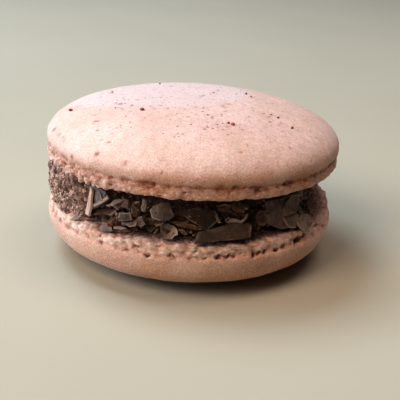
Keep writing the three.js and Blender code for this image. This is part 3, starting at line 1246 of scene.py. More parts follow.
@dataclass
class FillingCore:
    """The pressed ganache behind the flakes, with a mass of crumbs on one side.

    Attributes:
        low: The height of its underside.
        high: The height of its top.
        radius: Its radius.
        bulge_angle: The middle of the mass of crumbs.
        bulge_width: Half the angle that the mass covers.
        bulge_depth: How far the mass stands out.
        segments: How many points each ring has.
        spacing: The distance between rings.
        seed: Picks its noise.
        hollows: Recesses in its side, each an angle, half its width and its depth.
        caves: Holes in the mass, each an angle, a height, a radius and a depth.
        heaps: Heaps of crumbs beside it, each an angle, a height, a radius and a depth.
        finish: Its finish.
    """

    low: float
    high: float
    radius: float = 19.7
    bulge_angle: float = -158.0
    bulge_width: float = 22.0
    bulge_depth: float = 3.6
    segments: int = 560
    spacing: float = 0.16
    seed: int = 55
    hollows: tuple[tuple[float, float, float], ...] = (
        (-63.4, 3.0, 2.4), (-77.6, 2.6, 1.0), (-20.0, 12.0, 1.5),
    )
    caves: tuple[tuple[float, float, float, float], ...] = (
        (-148.6, 12.9, 0.75, 0.9), (-143.2, 13.5, 0.8, 0.8), (-138.0, 15.3, 0.8, 0.6),
        (-134.6, 12.8, 0.5, 0.6), (-152.0, 9.8, 0.4, 0.4),
    )
    heaps: tuple[tuple[float, float, float, float], ...] = (
        (-124.0, 9.9, 1.9, 1.7), (-119.0, 9.7, 1.5, 1.5),
    )
    finish: CrumbFinish = CrumbFinish("ganache", paint(54, 33, 27), paint(236, 206, 198), 0.75)

    def build(self) -> bpy.types.Object:
        """Makes the core's mesh, with its crumbly relief.

        Returns:
            The core as an object at the origin, with the marks light, crumb and chips.
        """
        noise = Noise(self.seed)
        side = smooth_path([(self.radius, self.low), (self.radius, self.high)], self.spacing)
        level = np.concatenate([[self.low], side[:, 1], [self.high]])
        radius = np.concatenate([[0.7 * self.radius], side[:, 0], [0.7 * self.radius]])
        angle = np.arange(self.segments) / self.segments * TURN
        around = headings(angle)
        gap = angle_gap(angle, math.radians(self.bulge_angle)) / math.radians(self.bulge_width)
        side_spots = lathe(np.array([[self.radius]]), level, around)
        bulge = np.exp(-((gap[None] + 0.3 * noise.layered(side_spots + 64.0, 3.0, 3)) ** 4))
        on_side = (radius > 0.9 * self.radius)[:, None]
        rounding = 0.5 * ((2.0 * level - self.low - self.high) / (self.high - self.low)) ** 4
        hollow = np.zeros_like(angle)
        for place, width, depth in self.hollows:
            gap = angle_gap(angle, math.radians(place)) / math.radians(width)
            hollow = np.maximum(hollow, depth * np.exp(-(gap**4)))
        swell = self.bulge_depth * bulge - hollow[None]
        reach = radius[:, None] + on_side * (swell - rounding[:, None])
        base = lathe(reach, level, around)

        nearest, _ = noise.cells(base + 0.3 * noise.smooth(base + 12.0, 1.2)[..., None], 1.35)
        fine_nearest, _ = noise.cells(base + 30.0, 0.55)
        coarse = noise.layered(base, 2.2)
        pores = ease(0.5, 0.8, nearest)
        fine_pores = ease(0.5, 0.85, fine_nearest)
        crumbly = 0.3 * coarse - 0.4 * pores - 0.2 * fine_pores
        plain = 0.45 * coarse - 0.25 * pores
        push = on_side * (bulge * crumbly + (1.0 - bulge) * plain)
        inside = np.zeros(base.shape[:2])
        for place, height, size, depth in self.caves:
            middle = spot(place, self.radius + self.bulge_depth, height)
            near = np.exp(-((np.linalg.norm(base - middle, axis=-1) + 0.3 * coarse) / size) ** 4)
            inside = np.maximum(inside, near)
            push = push - depth * near
        for place, height, size, depth in self.heaps:
            middle = spot(place, self.radius, height)
            near = np.exp(-((np.linalg.norm(base - middle, axis=-1) + 0.5 * coarse) / size) ** 4)
            push = push + on_side * (depth - 0.5 * pores - 0.3 * fine_pores) * near
        points = base + push[..., None] * around[None]

        # The mark light is painted darker in the pores and the caves: painted shade.
        light = bulge * (1.0 - 0.85 * pores - 0.5 * fine_pores) * (0.8 + 0.3 * coarse)
        light = np.clip(light, 0.0, 1.0) * (1.0 - 0.9 * inside) + 0.1 * (1.0 - bulge)
        crumb = on_side * bulge * (1.0 - 0.6 * pores) * (1.0 - 0.9 * inside)
        chips = on_side * (1.0 - ease(0.1, 0.6, bulge)) * (hollow < 0.9)[None]
        marks = {"light": light, "crumb": crumb, "chips": chips}
        flat = np.vstack([self.low * UP, points.reshape(-1, 3), self.high * UP])
        values = {mark: np.pad(value.ravel(), 1) for mark, value in marks.items()}
        return new_object("filling_core", flat, ring_faces(*points.shape[:2]), values)

    def dress(self, core: bpy.types.Object) -> None:
        """Gives the core its finish and stands it in for the solid filling.

        Args:
            core: The core's object.
        """
        core.data.materials.append(self.finish.material())
        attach(core, BODY)
        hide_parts("filling")


class Break(Enum):
    """How a flake broke off: the size of its steps, the depth of its bites, how bent it is."""

    SNAPPED = (0.03, 0.04, 0.06)
    SHAVED = (0.08, 0.09, 0.4)
    CRUMBLED = (0.14, 0.18, 0.9)


@dataclass(frozen=True)
class Flake:
    """A thin bent plate of chocolate on the side of the filling.

    Attributes:
        angle: Its place round the filling.
        height: The height of its middle.
        reach: The distance of its middle from the axis.
        corners: Its outline round its middle, each corner a place across and a place up.
        lean: How far its top edge tips inwards.
        turn: How far its left side swings outwards.
        bend: How far its middle stands in front of its left and right ends.
        curl: How far its middle stands in front of its upper and lower ends.
        fold: How steeply its halves rise to each side of a crease.
        fold_angle: The direction square to that crease.
        tone: How light it is, from 0 to 1.
        warmth: How brown it is, from 0 to 1.
        thickness: Its thickness.
        edge: How it broke off.
    """

    angle: float
    height: float
    reach: float
    corners: tuple[Pair, ...]
    lean: float = 0.0
    turn: float = 0.0
    bend: float = 0.2
    curl: float = 0.1
    fold: float = 0.0
    fold_angle: float = 0.0
    tone: float = 0.4
    warmth: float = 0.1
    thickness: float = 0.28
    edge: Break = Break.SNAPPED


PLACED_FLAKES = (
    Flake(-130.1, 13.4, 21.3,
          ((-1.3, -1.4), (0.3, -1.4), (2.0, 0.0), (0.7, 1.0), (-0.3, 1.4), (-2.3, 0.9)),
          lean=18, turn=-12, bend=0, curl=0, tone=0.19, warmth=0.2, thickness=0.3),
    Flake(-126.8, 13.7, 21.3,
          ((-0.9, 0.0), (-0.4, -1.2), (1.6, 0.2), (0.6, 0.9), (-1.4, 1.1)),
          lean=20, turn=-4, bend=0, curl=0, tone=0.11, thickness=0.3),
    Flake(-131.5, 12.4, 22.0,
          ((-0.6, -2.1), (1.2, -1.6), (1.3, -0.3), (0.1, 0.8), (-0.5, 2.0), (-1.5, 1.9),
           (-1.1, 0.3)),
          lean=15, turn=-28, bend=0, curl=0, tone=1.0, warmth=0.0, thickness=0.4),
    Flake(-125.8, 13.1, 21.8,
          ((-0.9, -1.2), (0.3, -0.2), (1.2, 0.9), (0.8, 1.1), (-0.1, 0.3), (-1.2, -0.8)),
          lean=34, turn=-10, bend=0, curl=0, tone=0.51, thickness=0.35),
    Flake(-125.7, 11.3, 21.5,
          ((-1.8, -1.0), (-0.2, -0.4), (1.8, 0.0), (2.1, 0.9), (0.4, 1.1), (-1.2, 0.5),
           (-2.2, -0.3)),
          lean=50, bend=0.1, curl=0, tone=0.06, warmth=0.3, thickness=0.4),
    Flake(-121.2, 9.7, 22.7,
          ((-1.2, -0.1), (-0.5, -0.7), (0.5, -0.4), (1.3, -0.1), (0.9, 0.4), (0.2, 0.3),
           (-0.2, 0.8), (-0.9, 0.6)),
          lean=44, turn=-6, bend=0.1, curl=0, tone=0.3, warmth=0.0, thickness=0.3),
    Flake(-115.6, 10.1, 22.4,
          ((-1.0, -0.3), (0.3, -0.3), (1.1, 0.2), (-0.1, 0.4), (-1.1, 0.1)),
          lean=60, bend=0.1, tone=0.49, thickness=0.2, edge=Break.SHAVED),
    Flake(-116.9, 13.5, 21.2,
          ((-1.4, -0.7), (-0.3, -1.1), (0.3, -0.4), (1.5, -0.3), (1.4, 0.9), (0.6, 1.0),
           (-0.9, 0.1)),
          lean=12, turn=-12, tone=0.11, warmth=0.45, thickness=0.4),
    Flake(-117.6, 13.8, 21.6,
          ((-1.1, -0.8), (-0.5, -1.0), (0.3, -0.2), (0.9, 0.4), (0.2, 0.5), (-0.8, 0.0)),
          lean=46, turn=-12, bend=0.1, tone=0.2, warmth=0.2, thickness=0.3),
    Flake(-114.2, 11.9, 21.5,
          ((-1.2, -0.9), (0.2, -0.7), (1.2, -0.3), (0.9, 0.7), (-0.3, 0.4), (-1.1, 0.3)),
          lean=16, turn=-6, fold=0.3, fold_angle=60, tone=0.04, warmth=0.3, thickness=0.35),
    Flake(-106.8, 14.0, 21.3,
          ((-0.4, -0.9), (0.3, -0.9), (0.4, 0.9), (-0.3, 1.0)),
          lean=6, turn=-12, bend=0.1, tone=0.25, thickness=0.4),
    Flake(-110.9, 12.8, 20.9,
          ((-0.6, -0.8), (0.4, -1.2), (0.8, 0.3), (0.2, 1.1), (-0.8, 0.9)),
          lean=14, turn=14, tone=0.08, warmth=0.4, thickness=0.4, edge=Break.SHAVED),
    Flake(-107.9, 11.5, 21.5,
          ((-0.9, -0.3), (0.1, -0.8), (1.0, -0.2), (0.3, 0.3), (0.1, 0.8), (-0.6, 0.6)),
          lean=20, turn=-10, bend=0.1, tone=0.18, warmth=0.4, thickness=0.25, edge=Break.SHAVED),
    Flake(-112.8, 10.8, 21.4,
          ((-1.3, -0.5), (0.2, -0.6), (1.4, -0.2), (1.3, 0.6), (-0.1, 0.5), (-1.4, 0.2)),
          lean=32, tone=0.08, warmth=0.4, thickness=0.4, edge=Break.CRUMBLED),
    Flake(-99.5, 13.7, 21.6,
          ((-1.4, -1.2), (-0.1, -1.4), (1.1, -1.2), (1.8, -0.6), (1.4, 0.3), (0.9, 1.3),
           (0.0, 1.4), (-1.3, 0.6), (-1.8, -0.1)),
          lean=6, turn=4, bend=0.35, curl=0.15, fold=-0.1, fold_angle=15, tone=0.15,
          thickness=0.35),
    Flake(-96.6, 10.8, 21.8,
          ((-1.2, -0.5), (-0.4, -1.1), (0.5, -1.1), (0.8, -0.6), (1.3, -0.3), (1.1, 0.4),
           (0.6, 0.9), (-0.4, 1.2), (-1.4, 0.7)),
          lean=40, bend=-0.55, curl=-0.45, tone=0.42, warmth=0.05, thickness=0.3),
    Flake(-90.1, 11.7, 21.3,
          ((-1.2, -0.2), (0.0, -0.5), (1.4, -0.6), (2.6, -0.4), (0.8, 0.2), (-1.0, 0.4),
           (-2.6, 0.3)),
          lean=20, turn=-6, bend=0.3, tone=0.02, warmth=0.8, edge=Break.CRUMBLED),
    Flake(-85.4, 12.7, 21.3,
          ((-3.0, 1.6), (-2.6, 0.7), (-1.6, 0.1), (-0.4, -0.7), (1.1, -1.6), (2.0, -0.9),
           (3.0, 0.0), (2.3, 1.3), (0.9, 1.6), (-1.0, 1.6), (-2.2, 1.3)),
          lean=14, bend=0.5, fold=0.12, fold_angle=70, tone=0, warmth=0.2, thickness=0.4,
          edge=Break.SHAVED),
    Flake(-79.3, 13.2, 21.7,
          ((-0.6, 0.7), (-0.1, 0.1), (0.5, -0.9), (0.9, -0.8), (0.3, 0.1), (-0.3, 0.9),
           (-0.9, 0.9)),
          lean=22, turn=-14, bend=0, curl=0, tone=0.25, warmth=0.5, thickness=0.3),
    Flake(-75.5, 14.2, 20.9,
          ((-1.0, -0.3), (-0.1, -0.7), (1.0, -0.4), (1.1, 0.5), (0.0, 0.7), (-1.1, 0.4)),
          turn=8, fold=0.3, fold_angle=80, tone=0.24, warmth=0.9, edge=Break.CRUMBLED),
    Flake(-69.6, 14.1, 21.1,
          ((-1.1, 0.0), (-0.4, -0.7), (0.7, -0.7), (1.1, 0.2), (0.3, 0.7), (-0.9, 0.7)),
          lean=10, turn=-8, fold=-0.3, fold_angle=60, tone=0.24, warmth=0.9, edge=Break.CRUMBLED),
    Flake(-71.7, 12.4, 21.6,
          ((-1.2, -0.2), (-0.6, -0.2), (0.2, -0.2), (1.2, -0.4), (1.2, -0.1), (0.4, 0.2),
           (-0.5, 0.5), (-1.0, 0.6)),
          lean=54, bend=0, curl=0, tone=0.49, thickness=0.3, edge=Break.SHAVED),
    Flake(-67.5, 12.7, 21.6,
          ((-0.3, -0.7), (0.3, -0.2), (0.6, 0.5), (0.3, 0.6), (-0.1, 0.0), (-0.5, -0.4)),
          lean=36, turn=-12, bend=0, curl=0, tone=0.49, thickness=0.3, edge=Break.SHAVED),
    Flake(-76.1, 10.8, 22.0,
          ((-4.3, -1.4), (-2.1, -1.3), (0.6, -1.2), (2.9, -1.1), (4.0, -0.8), (4.3, 0.9),
           (3.5, 1.4), (1.5, 1.4), (-0.2, 0.9), (-2.0, 0.4), (-3.7, 0.2), (-4.1, -0.6)),
          lean=36, bend=0.3, curl=0.15, fold=-0.08, fold_angle=90, tone=0.11, warmth=0.2,
          thickness=0.5),
    Flake(-58.7, 12.1, 20.8,
          ((-0.7, -1.0), (0.2, -1.4), (0.9, -1.0), (0.9, 0.6), (0.3, 1.3), (-0.8, 1.3),
           (-1.0, 0.3)),
          lean=4, fold=0.3, fold_angle=80, tone=0.11, warmth=0.9, edge=Break.CRUMBLED),
    Flake(-49.3, 12.1, 21.3,
          ((-3.2, 1.2), (-3.3, 0.4), (-2.9, -1.0), (-1.9, -1.5), (-0.4, -2.3), (0.9, -2.4),
           (2.5, -2.5), (3.0, -1.6), (3.2, -0.8), (2.9, -0.4), (3.2, 0.8), (3.2, 2.5), (0.1, 2.3),
           (-2.2, 2.4), (-3.1, 2.3)),
          lean=8, turn=-6, bend=0.3, tone=0.25, warmth=0.4, thickness=0.4, edge=Break.SHAVED),
    Flake(-46.0, 13.4, 22.0,
          ((-1.7, -1.4), (-0.7, -1.4), (0.8, -1.3), (1.5, 0.3), (1.6, 1.4), (0.1, 1.4),
           (-0.7, 0.7), (-1.5, -0.4)),
          lean=12, turn=-12, bend=0, curl=0, tone=0.29, warmth=0.35, thickness=0.35,
          edge=Break.SHAVED),
    Flake(-45.7, 10.8, 22.4,
          ((-1.4, 0.4), (-1.0, -0.4), (-0.1, -1.1), (0.5, -1.1), (0.4, -0.5), (1.3, 0.2),
           (1.5, 0.9), (0.8, 1.2), (-0.7, 1.0), (-1.6, 1.0)),
          lean=26, turn=-10, bend=0, curl=0, tone=0.31, warmth=0.35, thickness=0.35,
          edge=Break.SHAVED),
    Flake(-39.7, 10.8, 22.7,
          ((-0.3, 1.1), (-0.6, 0.3), (-1.9, -0.2), (-1.2, -1.3), (-0.4, -2.1), (1.1, -1.6),
           (1.9, -1.2), (1.4, 0.5), (0.7, 1.7), (-0.1, 2.1)),
          lean=28, turn=-6, bend=0.1, curl=0, tone=0.36, thickness=0.35, edge=Break.CRUMBLED),
    Flake(-36.5, 14.2, 20.9,
          ((-0.5, -1.5), (0.5, -1.4), (0.7, 0.4), (0.4, 1.4), (-0.4, 1.3), (-0.6, 0.0)),
          lean=8, bend=0.1, tone=0.24, edge=Break.SHAVED),
    Flake(-136.6, 9.7, 23.0,
          ((-0.8, -0.9), (0.5, -0.3), (0.9, 0.4), (0.2, 0.3), (-0.1, 0.9), (-0.5, 0.0)),
          lean=44, bend=0, curl=0, tone=0.41, warmth=0.0),
)


@dataclass(frozen=True)
class FlakeDraw:
    """A seeded draw of flakes along a stretch of the filling's side.

    Attributes:
        seed: Picks the draw.
        count: How many flakes there are.
        start: The angle where the stretch begins.
        width: The angle that it covers.
        reach: The least and the greatest distance of a flake from the axis.
        wide: The least and the greatest size across.
        tall: The least and the greatest size up.
        tilt: The most that a flake leans or turns.
        clear: How much of the layer's top stays free of them.
        gaps: Stretches that stay free, each an angle and half its width.
        tone: The least and the greatest lightness.
        warmth: The least and the greatest warmth.
        thickness: The least and the greatest thickness.
    """

    seed: int
    count: int
    start: float
    width: float
    reach: Pair
    wide: Pair
    tall: Pair
    tilt: float
    clear: float = 0.3
    gaps: tuple[Pair, ...] = ()
    tone: Pair = (0.02, 0.21)
    warmth: Pair = (0.2, 0.8)
    thickness: Pair = (0.24, 0.4)

    def flakes(self, low: float, high: float) -> list[Flake]:
        """Draws the flakes.

        Args:
            low: The height of the layer's lower face.
            high: The height of its upper face.

        Returns:
            The flakes, spread evenly along the stretch.
        """
        draw = np.random.default_rng(self.seed)
        drawn = []
        for index in range(self.count):
            tall = draw.uniform(*self.tall)
            drawn.append(
                Flake(
                    angle=self.start + (index + draw.uniform(0.1, 0.9)) / self.count * self.width,
                    height=draw.uniform(low + 0.45 * tall + 0.5, high - 0.45 * tall - self.clear),
                    reach=draw.uniform(*self.reach),
                    corners=self._corners(draw, draw.uniform(*self.wide), tall),
                    lean=draw.uniform(-0.6, 1.0) * self.tilt,
                    turn=draw.uniform(-0.9, 0.9) * self.tilt,
                    bend=draw.uniform(-0.1, 0.13) * tall,
                    fold=draw.uniform(-0.3, 0.3),
                    fold_angle=draw.uniform(0.0, 180.0),
                    tone=draw.uniform(*self.tone),
                    warmth=draw.uniform(*self.warmth),
                    thickness=draw.uniform(*self.thickness),
                    edge=draw.choice(list(Break)),
                )
            )
        return [flake for flake in drawn if self._free(flake.angle)]

    def _free(self, angle: float) -> bool:
        """Whether a flake may stand at this angle."""
        return all(abs(angle - middle) > half for middle, half in self.gaps)

    @staticmethod
    def _corners(draw: np.random.Generator, wide: float, tall: float) -> tuple[Pair, ...]:
        """Draws a splintered outline of three to six corners.

        Args:
            draw: The draw that picks them.
            wide: The outline's width.
            tall: Its height.

        Returns:
            The corners, anticlockwise.
        """
        count = draw.integers(3, 7)
        swing = (np.arange(count) + draw.uniform(-0.4, 0.4, count)) / count * TURN
        swing += draw.uniform(0.0, TURN)
        reach = draw.uniform(0.65, 1.2, count)
        slant = draw.uniform(-0.5, 0.5)
        across = 0.5 * wide * reach * np.cos(swing)
        up = 0.5 * tall * reach * np.sin(swing) + slant * across
        return tuple(zip(across.tolist(), up.tolist()))


DARK_GAPS = ((-63.2, 2.6), (-78.0, 1.6), (-93.8, 1.2), (-128.2, 3.2))

FLAKE_DRAWS = (
    FlakeDraw(89, 46, 3.0, 184.0, (20.3, 21.3), (2.2, 5.0), (1.6, 3.2), 36.0),
    FlakeDraw(90, 176, -8.0, 198.0, (19.9, 21.1), (0.6, 1.9), (0.4, 1.2), 62.0),
    FlakeDraw(91, 175, -131.0, 105.0, (20.2, 21.5), (0.5, 1.6), (0.3, 0.9), 75.0, 1.2, DARK_GAPS),
    FlakeDraw(93, 66, -130.0, 104.0, (20.1, 21.0), (1.3, 3.2), (0.6, 1.6), 70.0, 1.4, DARK_GAPS),
    FlakeDraw(92, 38, -33.0, 27.0, (18.4, 19.2), (0.8, 2.2), (0.5, 1.5), 46.0),
)


@dataclass
class Sheet:
    """The mesh of one flake in its own plane: x across, y up, z out of its face.

    Attributes:
        flake: The flake.
        number: Which flake it is, so that no two break alike.
        cell: The usual width of a face.
        noise: The pile's noise.
    """

    flake: Flake
    number: int
    cell: float
    noise: Noise

    def __post_init__(self) -> None:
        """Finds where this flake samples the noise."""
        self.shift = np.array([13.1 * self.number, 7.7 * self.number])

    def plate(self) -> tuple[Array, Faces, Array, Array]:
        """Makes the plate.

        Returns:
            Its points, its faces, how near each point is to the rim, and the place of each
            point for streaks along the flake.
        """
        rim = self._rim()
        rings = max(2, math.ceil(np.linalg.norm(rim, axis=1).max() / (1.5 * self.cell)))
        share = (np.arange(1, rings + 1) / rings)[:, None, None]
        middle = rim.mean(axis=0)
        flat = np.vstack([middle[None], (middle + share * (rim - middle)).reshape(-1, 2)])
        edge = np.concatenate([[0.0], np.repeat(share.ravel(), len(rim))])

        rise = self._rise(flat)
        half = 0.5 * self.flake.thickness * (1.0 - 0.15 * edge**8)
        front = np.column_stack([flat, rise + half])
        back = np.column_stack([flat, rise - half])
        lane = np.full(len(flat), 5.0 * self.number)
        streak = np.column_stack([flat[:, 0], 0.25 * flat[:, 1], lane])
        return (
            np.vstack([front, back]),
            self._faces(rings, len(rim)),
            np.tile(ease(1.0 - 1.6 / rings, 1.0, edge), 2),
            np.vstack([streak, streak]),
        )

    def _rim(self) -> Array:
        """Walks round the flake's outline and breaks its edge a little.

        Returns:
            Points round the rim, anticlockwise as seen from outside.
        """
        bite = self.flake.edge.value[1]
        corners = np.array(self.flake.corners)
        edges = zip(corners, np.roll(corners, -1, axis=0))
        rim = np.vstack([even_path(np.array(edge), self.cell)[:-1] for edge in edges])
        middle = rim.mean(axis=0)
        place = np.column_stack([rim + self.shift, np.zeros(len(rim))])
        gaps = ease(0.25, 0.6, self.noise.smooth(place + 5.0, 0.7))
        jag = bite * self.noise.layered(place, 0.8, 3) - bite * gaps
        size = np.linalg.norm(rim - middle, axis=1)
        jag = np.clip(jag, -0.3 * size, 0.2 * size)
        return rim + (rim - middle) / size[:, None] * jag[:, None]

    def _rise(self, flat: Array) -> Array:
        """How far the sheet rises out of its plane at each point.

        Args:
            flat: The points in its plane.

        Returns:
            The rise at each point.
        """
        flake, noise = self.flake, self.noise
        step, _, bent = flake.edge.value
        half = np.abs(np.array(flake.corners)).max(axis=0)
        across, up = flat[:, 0] / half[0], flat[:, 1] / half[1]
        rise = flake.bend * (1.0 - across**2) + flake.curl * (1.0 - up**2)
        crease = math.radians(flake.fold_angle)
        aside = flat @ np.array([math.cos(crease), math.sin(crease)])
        rise = rise + flake.fold * (np.hypot(aside, 0.12) - 0.12)
        draw = np.random.default_rng(int(self.shift[0]))
        for _ in range(3):
            facing, offset = draw.uniform(0.0, TURN), draw.uniform(-0.5, 0.5) * half.min()
            beyond = flat @ np.array([math.cos(facing), math.sin(facing)]) - offset
            rise = rise + bent * draw.uniform(-0.5, 0.32) * np.maximum(beyond, 0.0)
        place = np.column_stack([flat + self.shift, np.zeros(len(flat))])
        layers = 2.0 * noise.layered(place, 1.7, 2)
        rise = rise + step * (np.floor(layers) + ease(0.6, 1.0, layers - np.floor(layers)))
        grooves = noise.smooth(place * np.array([1.0, 0.3, 1.0]), 0.55)
        return rise + 0.4 * step * grooves + 0.5 * step * noise.smooth(place + 50.0, 1.3)

    @staticmethod
    def _faces(rings: int, count: int) -> Faces:
        """The faces of a closed plate, whose front points come before its back points.

        Args:
            rings: How many rings each side has round its middle.
            count: How many points each ring has.

        Returns:
            Faces for points in this order: middle, rings from the middle out, and again.
        """
        back = 1 + rings * count
        last = back - count
        faces: Faces = []
        for i in range(count):
            after = (i + 1) % count
            faces.append((0, 1 + i, 1 + after))
            faces.append((back, back + 1 + after, back + 1 + i))
            for inner in range(1, last, count):
                near, far = (inner + i, inner + after), (inner + count + i, inner + count + after)
                faces.append((near[0], far[0], far[1], near[1]))
                faces.append((back + near[0], back + near[1], back + far[1], back + far[0]))
            faces.append((last + i, back + last + i, back + last + after, last + after))
        return faces

    def stand(self, plate: Array) -> Array:
        """Stands the plate on the side of the filling.

        Args:
            plate: Its points in its own plane.

        Returns:
            Its points in their place.
        """
        flake = self.flake
        turn = Matrix.Rotation(math.radians(flake.turn), 3, "Y")
        lean = Matrix.Rotation(math.radians(-flake.lean), 3, "X")
        local = plate @ np.array(turn @ lean).T + [0.0, flake.height, flake.reach]
        return local @ np.array([sideways(flake.angle), UP, spot(flake.angle, 1.0, 0.0)])


@dataclass
class FlakePile:
    """The flakes round the filling: the large ones listed one by one, the rest by seeded draws.

    Attributes:
        low: The height of the layer's lower face.
        high: The height of its upper face.
        placed: The flakes that are placed one by one.
        draws: The draws of the rest.
        cell: The usual width of a face.
        seed: Picks the noise that they break by.
        crease: Edges that bend more than this many degrees stay sharp.
        finish: Their finish.
    """

    low: float
    high: float
    placed: tuple[Flake, ...] = PLACED_FLAKES
    draws: tuple[FlakeDraw, ...] = FLAKE_DRAWS
    cell: float = 0.2
    seed: int = 89
    crease: float = 17.0
    finish: FlakeFinish = FlakeFinish()

    def build(self) -> bpy.types.Object:
        """Makes all flakes as one mesh.

        Returns:
            The pile as an object at the origin, with the marks tone, warmth, rim, streak and
            dust.
        """
        noise = Noise(self.seed)
        flakes = [*self.placed]
        for draw in self.draws:
            flakes.extend(draw.flakes(self.low, self.high))
        points: list[Array] = []
        faces: Faces = []
        marks: dict[str, list[Array]] = {"tone": [], "warmth": [], "rim": [], "streak": []}
        start = 0
        for number, flake in enumerate(flakes):
            sheet = Sheet(flake, number, self.cell, noise)
            flat, sheet_faces, rim, streak = sheet.plate()
            points.append(sheet.stand(flat))
            faces.extend(tuple(start + i for i in face) for face in sheet_faces)
            marks["tone"].append(np.full(len(flat), flake.tone))
            marks["warmth"].append(np.full(len(flat), flake.warmth))
            marks["rim"].append(rim)
            marks["streak"].append(streak)
            start += len(flat)
        values = {mark: np.concatenate(parts) for mark, parts in marks.items()}
        places = np.vstack(points)
        values["dust"] = ease(-0.1, 0.5, noise.layered(places + 200.0, 2.4, 2))
        return new_object("filling_flakes", places, faces, values, self.crease)

    def dress(self, pile: bpy.types.Object) -> None:
        """Gives the flakes their finish and stands them in for the solid filling.

        Args:
            pile: Their object.
        """
        pile.data.materials.append(self.finish.material())
        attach(pile, BODY)
        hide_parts("filling")


